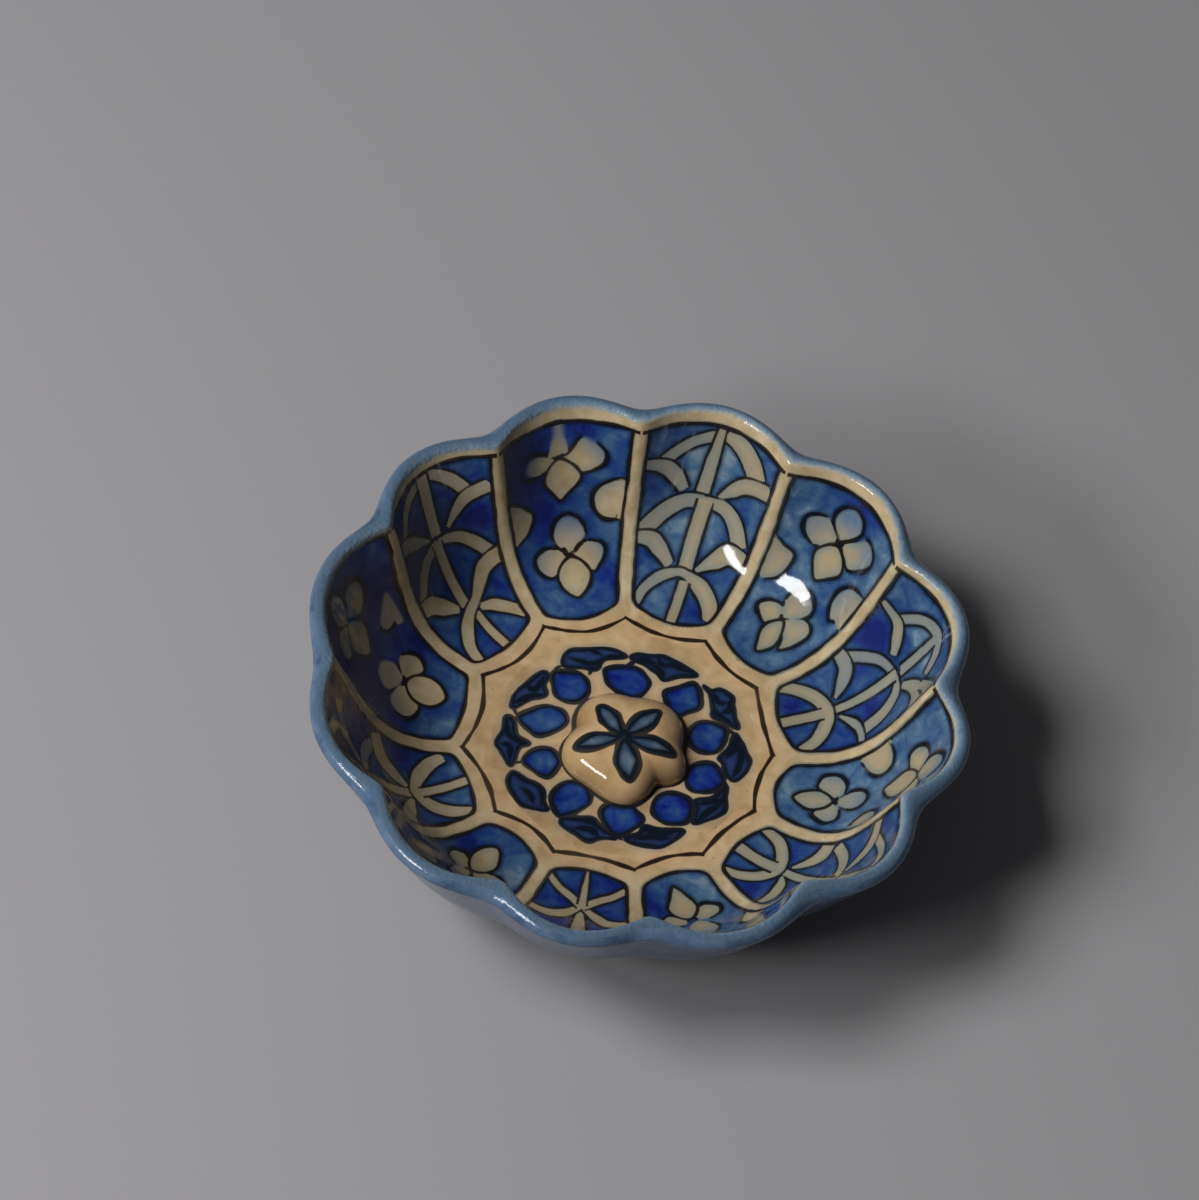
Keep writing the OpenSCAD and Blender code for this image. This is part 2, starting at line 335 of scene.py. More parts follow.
def paint(coat, x, y, strokes, seed=0.0, weight=1.0):
    # a petal is cream with an open edge, an outlined petal has a line all round, a leaf is blue with a line,
    # a band is a cream brush stroke between two lines, and a line is ink alone
    for n, (kind, points, *more) in enumerate(strokes):
        low, high = np.min(points, 0) - brush["margin"], np.max(points, 0) + brush["margin"]
        near = np.flatnonzero((x > low[0]) & (x < high[0]) & (y > low[1]) & (y < high[1]))
        px, py = x[near], y[near]
        pen = penWidth(px, py, seed + n) * weight
        ink, blue, hold, tint = (coat[key][near] for key in ("ink", "blue", "hold", "tint"))
        path = brushPath(points, closed=kind in ("petal", "outlined", "leaf"))
        gap, along = nearPath(path, px, py)
        if kind == "line":
            taper = np.clip(np.minimum(along, 1 - along) * brush["taper"], brush["thinnest"], brush["fullest"])
            coat["ink"][near] = np.maximum(ink, pen * taper - gap)
            coat["hold"][near] = np.maximum(hold, heldBy(gap))
            continue
        if kind == "band":
            edge = gap - np.interp(along, np.linspace(0, 1, len(more[0])), more[0])
            beside = (along > 0) & (along < 1)  # its ends are cut straight
            inked = np.where(beside, pen * brush["bandLine"] - np.abs(edge), farOff)
            edge = np.where(beside, edge, np.maximum(edge, brush["bandEnd"]))
        else:
            edge = np.where(enclosed(path, px, py), -gap, gap)
            inked = farOff if kind == "petal" else pen - np.abs(edge)
        coat["ink"][near] = np.maximum(np.minimum(ink, edge), inked)
        coat["blue"][near] = np.maximum(blue, -edge) if kind == "leaf" else np.minimum(blue, edge)
        lined = {"petal": 0.0, "band": brush["bandHold"]}.get(kind, 1.0)
        coat["hold"][near] = np.where(np.abs(edge) < brush["edgeSpan"], lined, hold)
        if kind == "leaf":
            continue
        fade = more[-1] if len(more) > (kind == "band") else 0.0
        if isinstance(fade, tuple):  # from one point to another
            (ax, ay), (bx, by), most = fade
            share = ((px - ax) * (bx - ax) + (py - ay) * (by - ay)) / ((bx - ax) ** 2 + (by - ay) ** 2)
            fade = most * np.clip(share, 0, 1)
        coat["tint"][near] = np.where((edge < 0) | (edge < brush["fadeSpan"]) & (blue > 0), fade, tint)


def wash(coat, x, y, puddles, key="tone"):  # pools of lighter or deeper blue, of smoke and painted shade, or of a stain
    for px, py, size, change in puddles:
        coat[key] += change * np.exp(-((x - px) ** 2 + (y - py) ** 2) / size ** 2)


# Where the painter's lines run on the wall: x and y are mm on a flattened lobe, y from the floor's edge up
wallLayout = {
    "baseRadius": 34.0,
    "reach": 24.0,  # degrees to each side that one panel can touch
    # degrees that a painted rib leans off its ridge at the floor, and from a lobe's middle to its pattern's
    "ribLean": (0, 1, 3.5, 2, 2, -0.8, 2.4, -0.9, -0.3, -0.3, 1.2, -1.5),
    "aim": (0, 0, 0.3, 1.8, 2.4, 2.1, 1.5, 0.2, -0.3, -0.3, -0.2, 0),
    "leanEnds": 45.0,
    "leanMost": 1.1,
    "ribHalf": 1.9,
    "panelFoot": (0.9, 2.6, 3.2, 3.2, 1.7, 1.4, 1.7, 2.2, 1.7, 2.1, 2.3, 1.1),
    "panelFootSides": (4.2, 5.2, 5.4, 5.2, 4.2, 3.8, 3.9, 4.7, 4.8, 5, 5, 4.6),
    "topAtRib": (49.2, 49.5, 50.4, 51.2, 51, 50.5, 50.5, 50.6, 50.5, 50.6, 50.1, 49.1),
    "topInside": (47.9, 49, 51, 51, 50.2, 50, 50, 50.6, 50.2, 49.6, 49, 49),
    "sideMost": 1.2,  # 1 is a panel's own side
    "sideRound": 1.0,
    "footRound": 1.6,
    "topRound": 0.5,
    # how far the pattern slides towards the lip
    "drift": ((-1.1, -0.4), (-1.6, 0.4), (-2.5, 1.9), (-3, 4), (-2, 3), (0, 0), (0, 0), (1.6, 0.9), (0.8, -0.6),
              (0.1, -1.1), (-0.3, -1.1), (-0.7, -0.8)),
    "driftStarts": 12.0,
    "driftRun": 36.0,
    "driftMost": 1.2,
    "driftBend": 1.3,
    "dull": (0.12, 0.06, 0, 0.08, 0.15, 0.12, 0.2, 0.22, 0.24, 0.24, 0.24, 0.2),
    "lipShift": (0.2, 0, 0, 0, 0, 0, 0, 0, 0.5, 1, 1.4, 1.4),  # the lip's blue starts this much farther up
    "lipShiftStarts": 40.0,
    "lipShiftRun": 8.0,
    "floorCorners": (0.4, 2, 2.3, 2.8, 1.2, -0.2, -0.2, -0.3, -0.3, -0.3, 0.4, 0.4),
    "floorSides": (-2.8, -1.8, -0.8, -0.6, -2.3, -2.3, -2.5, -2.3, -2.5, -1.6, -2, -2.8),
    "floorOverrun": 0.012,
    "floorSlant": 0.95,
    "pen": 1.12,
    "edgePen": 1.1,
    "topPen": 1.35,
    "floorPen": 1.3,
    "edgeReach": 0.9,
}

# Upper part of the lattice and of the flower, for the lobes that show little of theirs
latticeTop = [
    ("band", [(-10.5, 40.4), (-6.6, 44.6), (-3, 46.6), (0.9, 47.2), (4.6, 46.4), (8, 44), (11, 40.2)],
     (1.5, 1.4, 1.3, 1.3, 1.6, 1.8, 1.8), 0.18),
    ("band", [(0.3, 33), (0.6, 41), (0.9, 51)], (1.5, 1.4, 1.3), 0.18),
    ("band", [(-2.6, 32.8), (-5.5, 35), (-9.5, 38.2), (-15.5, 40.8)], (0.8, 1.6, 1.8, 1.6), 0.15),
    ("band", [(3.2, 32.8), (6, 35.6), (9.4, 38.3), (15.5, 41.2)], (0.8, 1.6, 1.8, 1.8), 0.15),
    ("band", [(-10.8, 24), (-7.4, 28), (-3.5, 30.3), (0.4, 31), (4, 30.6), (8, 28.8), (11.4, 24.4)],
     (1.8, 1.8, 1.6, 1.4, 1.6, 2, 2), 0.12),
]
flowerTop = [
    ("petal", [(0.5, 38.5), (3.4, 41.4), (6.5, 43.2), (9.6, 42), (9.4, 38.8), (6.4, 36), (3, 36.6)],
     ((4, 39), (9.5, 42.5), 0.8)),
    ("line", [(0, 38.8), (2.4, 40.8), (4.6, 43.4), (8, 43.9), (10, 41.8), (9.2, 38.2), (5.8, 35.4)]),
    ("petal", [(-0.6, 38.5), (-3.6, 41), (-7, 42), (-9.2, 40), (-8.6, 37), (-5.6, 35.4), (-2.6, 36.6)],
     ((-4, 39), (-9, 41.5), 0.8)),
    ("line", [(-3, 41), (-6.8, 42.6), (-9.6, 40.6), (-8.8, 36.8), (-5.4, 34.8)]),
    ("petal", [(0, 38.6), (-2.8, 41), (-3.6, 44), (-1.6, 46.8), (0.8, 47), (3, 44.8), (2.6, 41.4)],
     ((0, 40), (0, 47), 0.8)),
    ("line", [(-1, 39.2), (-3.4, 41.6), (-3.8, 44.8), (-1.2, 47.4), (1.8, 46.8), (3.4, 44), (2.8, 41)]),
    ("outlined", [(0, 38.6), (-2.4, 37), (-3.8, 34.4), (-3, 31), (-0.2, 28.2), (2.8, 30.8), (4, 34), (2.6, 37)]),
    ("petal", [(-14.5, 33.5), (-10.6, 31.5), (-7.6, 29.4), (-7, 26.4), (-8.6, 23.4), (-11.5, 22)], 0.1),
    ("line", [(-14.3, 33.3), (-10.6, 31.6), (-7.6, 29.6), (-6.9, 26.4), (-8.5, 23.2), (-10.5, 21.8)]),
    ("petal", [(14.6, 36), (10.5, 34.4), (7.4, 31.8), (6.3, 28.6), (7, 25.6), (9, 24.2), (12.5, 25)],
     ((11, 29), (7, 32.5), 0.5)),
    ("line", [(14.6, 36), (10.5, 34.6), (7.3, 32), (6.1, 28.6), (6.8, 25.4), (8.8, 23.9), (10.2, 25)]),
]
wallPanels = {}
# partly painted shade: the deep wash at the upper left darkens the blue where the wall lies in shadow
wallPanels[0] = {"tone": 0.68, "washesAndShade": [
    (-10, 42, 8, 0.5), (-5, 28, 5, 0.25), (11, 45, 4, -0.15), (11, 21, 5, -0.25), (9, 35, 4, -0.2),
    (-8, 6, 5, -0.3), (4, 4, 4, -0.15), (8, 11, 3, 0.25), (-11, 17, 4, 0.05), (3, 28, 3, -0.2), (5, 46, 4, 0.2)
], "strokes": [
    ("petal", [(0.5, 39.2), (3, 41.8), (5.5, 44.2), (8.5, 43.4), (10.6, 41.2), (10.3, 38.6), (7.5, 36.3),
               (4.8, 35.6), (2.5, 37.5)], ((4.5, 40), (8.5, 43.6), 0.8)),
    ("line", [(0, 39.4), (2.2, 40.8), (3.8, 42.5), (5.2, 45)]),
    ("line", [(9.3, 43.3), (10.8, 41.2), (10.2, 38.4), (8, 36.6), (6, 35.6)]),
    ("petal", [(-0.8, 39.2), (-4, 41.2), (-7, 41.4), (-8.4, 39.8), (-8, 37.8), (-6, 36.7), (-3, 37)],
     ((-3, 39), (-8, 41), 0.9)),
    ("line", [(-0.4, 39.4), (-3, 41), (-5.5, 42.2), (-9.5, 42.6)]),
    ("line", [(-10, 39.5), (-8.8, 37.3), (-6.4, 36.4), (-4.6, 36)]),
    ("petal", [(-2.4, 39.8), (-2, 42), (-1.2, 45), (-0.9, 48.8), (1.5, 48.8), (1.5, 45), (2, 42.5), (1.8, 40.4)],
     ((0, 40.5), (0.4, 47), 0.75)),
    ("outlined", [(0, 39.3), (-2.3, 37.8), (-3.7, 35.4), (-3.5, 33.3), (-2, 31.2), (-0.4, 29.3), (1.6, 30.8),
                  (3.6, 32.6), (4.8, 34.6), (4, 36.6), (2.2, 38.2)]),
    ("petal", [(-0.5, 17.5), (-2.8, 19.8), (-3.3, 22.3), (-1.8, 25), (0.8, 26), (3.6, 24.6), (4.6, 21.8),
               (3.2, 19.4), (1, 17.6)], ((0, 19), (1, 25.5), 0.9)),
    ("line", [(-2.4, 19.3), (-3.3, 22), (-2.2, 24.8), (0.6, 26.1), (3.3, 25), (4.7, 22.2), (4.2, 20.2)]),
    ("petal", [(-0.6, 16.8), (-3.5, 19.2), (-6.6, 19.3), (-8.2, 17.6), (-7.4, 14.8), (-5.2, 12.9), (-3, 13.8)],
     ((-3, 16.5), (-8, 18.5), 0.7)),
    ("line", [(-2.6, 19.3), (-5.8, 19.6), (-8.3, 18.3), (-8.3, 16), (-7, 13.9), (-4.8, 12.4)]),
    ("petal", [(0.4, 16.8), (2.6, 19.2), (5.5, 20), (8, 19.2), (8.2, 17), (6.6, 14.5), (4.6, 13)],
     ((3, 17), (8, 19.5), 0.7)),
    ("line", [(0.8, 17.2), (2.6, 19), (4, 19.8)]),
    ("line", [(5.4, 20), (8, 19.6), (8.7, 17.8), (7.6, 15.6), (5.2, 13)]),
    ("outlined", [(-0.2, 16.7), (-2.4, 15.2), (-3.7, 12.8), (-3.2, 10), (-1.6, 7.8), (-0.1, 6.9), (1.6, 8),
                  (3.4, 10.2), (4.2, 12.9), (3, 15.2), (1.2, 16.5)]),
    ("line", [(-1.6, 18.8), (-0.8, 18.2), (-0.4, 17)]),
    ("petal", [(-14.8, 34.6), (-11.4, 32.7), (-8.8, 30.2), (-7.4, 27.8), (-8.6, 24.8), (-11.6, 23.3), (-14.2, 24)],
     0.15),
    ("line", [(-14.6, 34.5), (-11.4, 32.8), (-8.7, 30.1), (-7.3, 27.8), (-8.6, 24.8), (-11.4, 23.2)]),
    ("petal", [(15, 36.2), (10.5, 34), (7.6, 31.2), (6.9, 28.5), (7.7, 26.3), (9.3, 25.1), (12, 25.4), (14.5, 26)],
     ((11, 29.5), (7.5, 33), 0.6)),
    ("line", [(16, 36.8), (10.5, 34.1), (7.4, 31), (6.8, 28.5), (7.6, 26.2), (9.3, 25), (11.6, 25.3), (12.3, 26.6)]),
]}
# painted shade: the smoke and the big deep wash darken the top of this lobe, where the wall lies in shadow
wallPanels[1] = {"tone": 0.66, "smokeAndShade": [(-12, 34, 7, 0.35)], "washesAndShade": [
    (-8, 34, 12, 0.4), (10, 34, 4, 0.3), (6, 18, 4, 0.15), (4, 8, 4, -0.1)
], "strokes": [
    ("band", [(-10.7, 39.5), (-8.5, 43), (-5, 45.6), (-0.5, 47)], (1.6, 1.6, 1.5, 1.3), 0.24),
    ("band", [(1.6, 48.2), (5, 46.3), (8, 43.5), (10.6, 39.5)], (1.2, 1.7, 1.9, 1.9), 0.24),
    ("band", [(-0.4, 33), (0.3, 40), (1.4, 50)], (1.7, 1.7, 1.7), 0.12),
    ("band", [(-2.4, 33), (-6, 35.6), (-10, 38.8), (-15.5, 42)], (0.6, 1.5, 1.8, 1.8), 0.21),
    ("band", [(3, 33), (6.5, 36.3), (9.5, 38.7), (15.5, 41.4)], (0.7, 1.4, 1.7, 1.8), 0.24),
    ("band", [(-0.6, 31.5), (-6, 29.8), (-10, 27), (-13.4, 23.6)], (1.2, 1.7, 1.9, 2), 0.21),
    ("band", [(-0.6, 31.5), (4.5, 30), (8, 27), (10.8, 23)], (1, 1.6, 1.9, 2), 0.24),
    ("band", [(-2, 16), (-1.6, 24), (-1, 31.5)], (1.5, 1.5, 1.5), 0.12),
    ("band", [(-4, 16.3), (-7, 19.2), (-10.5, 22.5), (-16, 24.3)], (1, 2, 2.1, 2.1), 0.09),
    ("band", [(0.6, 14), (4, 12.4), (7, 9.4), (8.4, 7)], (1, 1.8, 1.8, 1.5), 0.06),
    ("band", [(-1.4, 2), (-1.3, 8), (-1, 13.6)], (1.3, 1.3, 1.2), 0.06),
    ("band", [(-9.3, 4.5), (-8.2, 8.7), (-5.6, 12), (-2.4, 14.3), (1, 15.9), (4.4, 18.8), (7.5, 21.4), (14, 23.8)],
     (1.4, 1.7, 1.9, 1.4, 1.2, 1.7, 1.9, 2), 0.06),
]}
# painted shade: the smoke and the big deep wash darken the top of this lobe, where the wall lies in shadow
wallPanels[2] = {"tone": 0.75, "smokeAndShade": [(0, 41, 11, 0.4)], "washesAndShade": [
    (-4, 36, 14, 0.35), (-8, 6, 7, -0.4), (5, 5, 6, -0.3), (10, 17, 4, 0.1)
], "strokes": flowerTop[:7] + [
    ("petal", [(13.8, 34), (10, 31.4), (7, 28.6), (7, 26.8), (9.6, 26.2), (12.6, 25.6)], 0.25),
    ("line", [(7, 28.4), (7.6, 26.6), (9.8, 26.3), (11, 27)]),
    ("petal", [(-0.5, 17.9), (-3.8, 19.6), (-4.8, 22.4), (-2.6, 24.8), (0.6, 24.4), (2.2, 21.6), (1.4, 18.8)], 0.3),
    ("line", [(-5.7, 21.3), (-3.2, 19), (-1, 17.8)]),
    ("line", [(0.9, 17.8), (1.8, 19.2), (2.8, 20.6)]),
    ("petal", [(-1, 17.4), (-4, 19.6), (-7.4, 20.2), (-9.2, 17.8), (-8.4, 14.8), (-5.4, 13), (-3.4, 14)],
     ((-4, 16), (-9, 19.5), 0.5)),
    ("line", [(-9.4, 18.4), (-9.2, 15.6), (-7.4, 13.8), (-4.6, 12.8)]),
    ("petal", [(0.6, 17.4), (2.6, 19.8), (5, 20.6), (7.2, 18.6), (7, 16.2), (4.4, 14.4)], 0.15),
    ("line", [(5.8, 20.2), (7.5, 18.2), (7, 15.8), (4.6, 14.2)]),
    ("outlined", [(-0.1, 17.2), (-2.8, 15.8), (-3.9, 13.2), (-3.2, 10), (-0.1, 7.7), (2.9, 9.8), (3.8, 12.9),
                  (2.6, 15.8)]),
]}
# painted shade: the big deep wash darkens the top of this lobe, where the wall lies in shadow
wallPanels[3] = {"tone": 0.62, "washesAndShade": [
    (0, 38, 14, 0.4), (9, 18, 5, 0.3), (-9, 17, 4, 0.2), (-4, 7, 4, -0.15), (4.5, 7, 4, -0.1)
], "strokes": latticeTop + [
    ("band", [(-0.8, 17), (-0.3, 24), (0.2, 31.5)], (1.5, 1.5, 1.5), 0.12),
    ("band", [(-2.6, 17.6), (-5.5, 20), (-9, 23), (-14, 24.8)], (0.8, 1.8, 2.1, 2), 0.06),
    ("band", [(1, 17.6), (4, 20.2), (8, 23.2), (13.5, 25)], (0.8, 1.8, 2.1, 2), 0.06),
    ("band", [(-7.4, 5.4), (-6.5, 10.2), (-4.4, 13.7), (-1, 15.8), (1.6, 15.3), (4.2, 13.6), (6.6, 11), (8, 7.5)],
     (1.2, 1.9, 2, 1.5, 1.5, 2, 2, 1.6), 0.06),
    ("band", [(0.5, 3), (-0.2, 10), (-0.7, 15)], (1.3, 1.3, 1.3), 0.06),
]}
wallPanels[4] = {"tone": 0.55, "washesAndShade": [
    (-4, 12, 5, -0.35), (8, 12, 5, 0.45), (0, 5, 5, 0.05), (-2, 32, 9, 0.2)
], "strokes": flowerTop + [
    ("petal", [(2, 17), (-1, 18.6), (-4.2, 17.6), (-5.6, 15.4), (-3.6, 13.6), (-0.6, 14)],
     ((-1, 16), (-5.6, 17), 0.7)),
    ("line", [(-4.6, 17.8), (-6, 15.6), (-4, 13.4), (-1.4, 13)]),
    ("petal", [(2.6, 17), (1, 20), (2.4, 23.6), (5, 23), (5.4, 19.6)], ((3, 18), (3, 24), 0.8)),
    ("line", [(1.2, 18.4), (0.8, 21.4), (2.6, 24), (5.2, 23), (5.6, 20)]),
    ("petal", [(3, 16.8), (5.6, 18.6), (8.4, 18.4), (9, 16), (6.8, 14.2), (4.6, 14.6)], ((5, 16), (9, 18), 0.4)),
    ("line", [(6.4, 19), (8.8, 18.2), (9.3, 16), (7, 13.9), (5.4, 13.4)]),
    ("outlined", [(2.4, 16.6), (0.2, 14.8), (-0.8, 11.8), (0.4, 8.8), (2.5, 7), (4.8, 8.8), (5.6, 11.8),
                  (4.6, 14.8)]),
]}
wallPanels[5] = {"tone": 0.85, "washesAndShade": [
    (-6, 12, 4, -0.15), (4, 4, 3, -0.05), (0, 34, 12, -0.2)
], "strokes": latticeTop + [
    ("band", [(1.2, 11), (0.9, 16), (0.7, 22), (0.4, 31.5)], (0.8, 1.4, 2, 2.2), 0.06),
    ("band", [(0.8, 11.4), (-3, 14.5), (-6, 16.3), (-12, 16)], (0.9, 1.5, 1.6, 1.4), 0.03),
    ("band", [(1.4, 11.4), (4.5, 14.6), (8.5, 16.7), (13.6, 17)], (0.9, 1.5, 1.6, 1.4), 0.03),
    ("band", [(1, 11.3), (-2.5, 8.7), (-5.2, 7.3), (-9, 4.4)], (1.2, 1.2, 1.1, 1), 0.06),
    ("band", [(1.2, 11.3), (4, 9.2), (7, 7.7), (10.4, 5)], (1.2, 1.2, 1.1, 1), 0.06),
    ("band", [(1.5, 0.6), (1.3, 6), (1.1, 11)], (0.4, 0.9, 1.1), 0.06),
]}
wallPanels[6] = {"tone": 0.45, "washesAndShade": [
    (7, 10, 4, 0.45), (-5, 8, 5, -0.25), (0, 4, 5, 0), (0, 32, 10, 0.1)
], "strokes": flowerTop + [
    ("petal", [(0, 16.5), (-2.8, 19), (-3.2, 22), (-1.2, 24.6), (1.4, 24.6), (3.4, 22), (2.8, 19)],
     ((0, 18), (0.4, 24.5), 0.8)),
    ("line", [(-2.4, 18.4), (-3.3, 21.6), (-1.6, 24.6), (1.2, 25), (3.4, 22.8), (3.4, 19.6)]),
    ("petal", [(0, 15.6), (-2.8, 16.6), (-5.6, 15.8), (-6.2, 13.6), (-3.6, 11.8), (-1.4, 12.4)], 0.15),
    ("line", [(-3.4, 16.8), (-6, 15.8), (-6.5, 13.4), (-3.6, 11.4), (-1.8, 11.2)]),
    ("petal", [(1.6, 15.6), (4.2, 17.4), (7, 17), (7.4, 14.8), (5, 13)], ((3.5, 15), (7.4, 17), 0.5)),
    ("line", [(4, 17.7), (7, 17.3), (7.7, 14.8), (5.2, 12.6)]),
    ("outlined", [(1, 15.2), (-1, 13.6), (-1.9, 11.2), (-0.6, 8), (1.5, 5.2), (3.2, 8), (4.6, 11.2), (3.4, 14)]),
]}
wallPanels[7] = {"tone": 0.66, "washesAndShade": [
    (-8, 14, 4, 0.15), (8, 14, 4, 0.2), (-2, 6, 4, -0.15), (-9, 34, 4, 0.1)
], "strokes": latticeTop + [
    ("band", [(0, 14.5), (0.2, 23), (0.3, 31)], (1.3, 1.4, 1.4), 0.18),
    ("band", [(-1.8, 15.3), (-4.5, 17.8), (-8, 20.2), (-13, 21)], (0.6, 1.4, 2.2, 2.2), 0.09),
    ("band", [(1.4, 15.4), (4, 17.3), (8.5, 19.5), (12.5, 20.3)], (0.6, 1.4, 1.6, 1.5), 0.09),
    ("band", [(-6.2, 3.8), (-5.9, 8.4), (-3.5, 11.3), (0.4, 13.3), (4, 11.7), (6.9, 8.6), (8.6, 5)],
     (1.3, 1.7, 1.7, 1.4, 1.7, 1.5, 1.2), 0.06),
    ("band", [(1.7, 2.4), (1.1, 7.5), (0.2, 12.4)], (1.6, 1.5, 1.7), 0.09),
]}
wallPanels[8] = {"tone": 0.36, "washesAndShade": [
    (-8, 46, 6, -0.05), (-7, 35, 4, 0.2), (-8, 15, 5, -0.1), (0, 4, 6, -0.1)
], "strokes": [
    ("petal", [(0.6, 39), (3.4, 41.6), (7, 43), (9.4, 41), (8.6, 37.6), (5.4, 35.6), (2.6, 36.6)],
     ((4, 39), (9, 42), 0.7)),
    ("line", [(0.4, 39.4), (3, 41.4), (6.8, 43.6), (9.8, 41.4), (8.8, 37.4), (5.4, 34.8)]),
    ("petal", [(-0.6, 38.8), (-3.2, 41.8), (-6, 41.8), (-7.4, 39.4), (-6.8, 36), (-3.6, 35.2), (-2, 36.6)],
     ((-4, 38.6), (-7.4, 41), 0.5)),
    ("line", [(-3, 42.5), (-6.4, 41.8), (-7.7, 38.8), (-6.8, 35.4), (-4, 34.9)]),
    ("petal", [(0, 39), (-2.8, 41.4), (-3.2, 45), (-1.6, 47.8), (1, 48), (2.8, 45), (2.2, 41.6)],
     ((0, 41), (0, 48), 0.65)),
    ("line", [(-1.2, 39.6), (-3.2, 42), (-3.3, 45.6), (-1.6, 48.2), (1.2, 48.2), (3, 45.2)]),
    ("outlined", [(0, 39), (-2.2, 37), (-3, 34), (-2, 30.8), (-0.2, 27.8), (2.8, 30.4), (3.9, 33.6), (3, 36.8)]),
    ("petal", [(0.6, 15.6), (-1.4, 17.8), (-2.2, 20.4), (-0.8, 22.8), (1.6, 23), (3.3, 21), (2.8, 17.8)],
     ((0.6, 14), (0.8, 23), 0.9)),
    ("line", [(-0.4, 16.4), (-2, 18.8), (-1.8, 21.6), (0.4, 23.5), (2.6, 22.6), (3.5, 20), (2.4, 17)]),
    ("petal", [(0.2, 15), (-2.4, 17.2), (-5, 16.6), (-6.4, 14.4), (-5.6, 11.6), (-3, 10.6), (-1.6, 12)],
     ((0, 14), (-6.4, 16), 0.7)),
    ("line", [(-1.6, 17.6), (-4.6, 17), (-6.6, 14.8), (-5.8, 11.4), (-2.8, 10.2)]),
    ("petal", [(1.2, 15), (3.4, 17.2), (6, 17.4), (6.9, 15.2), (5.4, 12.2), (3.8, 11.6)],
     ((0.6, 14), (6.8, 17), 0.7)),
    ("line", [(3.4, 17.6), (6, 17.8), (7.2, 15.4), (5.6, 12), (4.6, 10.6)]),
    ("outlined", [(0.7, 14.9), (-1, 13.4), (-1.8, 11), (-0.8, 7.8), (1.3, 6), (3, 8.2), (3.7, 10.6), (2.6, 13.6)],
     0.2),
    ("petal", [(-13.4, 30.6), (-9.5, 30.4), (-6.4, 29.2), (-4.9, 26.6), (-5.6, 23.6), (-8.6, 21.2), (-11.6, 21.6)],
     0.0),
    ("line", [(-12.6, 29.9), (-9.5, 30.8), (-6.3, 29.6), (-4.7, 26.6), (-5.4, 23.4), (-8.8, 20.9)]),
    ("petal", [(12.6, 32.4), (8.6, 31), (6, 28.4), (6, 25.4), (8.4, 23.6), (11, 24.4)], 0.2),
    ("line", [(12.8, 32.4), (8.6, 31.2), (5.8, 28.6), (5.7, 25.2), (8.2, 23.3), (9.6, 24.4)]),
]}
wallPanels[9] = {"tone": 0.6, "washesAndShade": [
    (2, 42, 8, -0.22), (-11, 33, 5, 0.6), (4, 24, 3, 0.4), (-6, 24, 3, 0.2), (-11, 47, 5, -0.15), (4, 41, 3, -0.2),
    (-3, 42, 3, -0.15), (-2, 6, 4, 0.25), (9, 33, 4, -0.1), (10, 16, 4, 0.15), (6, 48, 3, 0.15)
], "strokes": [
    ("band", [(-9.9, 38.8), (-7.5, 42.5), (-4.5, 45.3), (0, 46.7), (4, 45), (6.8, 41.5)],
     (1.4, 1.5, 1.5, 1.7, 1.6, 1.4), 0.45),
    ("band", [(0.4, 33), (0.5, 40), (0.5, 45.6)], (1.5, 1.4, 1.3), 0.4),
    ("band", [(-4, 32.7), (-6.5, 36), (-9, 38.9), (-12.3, 40.2), (-15, 41.4)], (1.2, 1.6, 1.5, 1.1, 0.9), 0.12),
    ("band", [(4, 32.8), (6.3, 36.2), (9.3, 39), (14.5, 41.4)], (1, 1.6, 2.1, 2.5), 0.27),
    ("band", [(8.6, 40.4), (12, 44.6), (15.6, 49)], (1.2, 1.6, 1.8), 0.18),
    ("band", [(0.6, 31.2), (-5, 29.3), (-8.5, 26.2), (-10.9, 23)], (1.1, 1.5, 1.7, 1.8), 0.55),
    ("band", [(0.6, 31.2), (2, 31.3), (5, 30.3), (7.4, 27), (8.4, 21.5)], (1, 1, 1.9, 2.1, 2), 0.27),
    ("band", [(0, 15), (0.2, 28), (0.3, 31.5)], (1.2, 1.5, 1.6), 0.18),
    ("band", [(-2.8, 15.7), (-5.8, 18.7), (-9, 21.3), (-14.5, 22.4)], (0.7, 1.7, 1.9, 1.9), 0.48),
    ("band", [(2, 15.6), (5.3, 18.6), (8.5, 20.3), (13, 21.4)], (0.6, 1.2, 1.1, 1.1), 0.35),
    ("band", [(-9.2, 4.5), (-8.2, 8.2), (-5.3, 11.4), (-2, 13), (0.6, 13.3), (3.5, 12), (6.6, 9.7), (8.6, 6)],
     (1.4, 1.9, 1.9, 1.7, 1.5, 1.9, 1.8, 1.5), 0.02),
    ("band", [(0.5, 1.2), (0, 8), (0, 12.6)], (1.5, 1.5, 1.5), 0.06),
]}
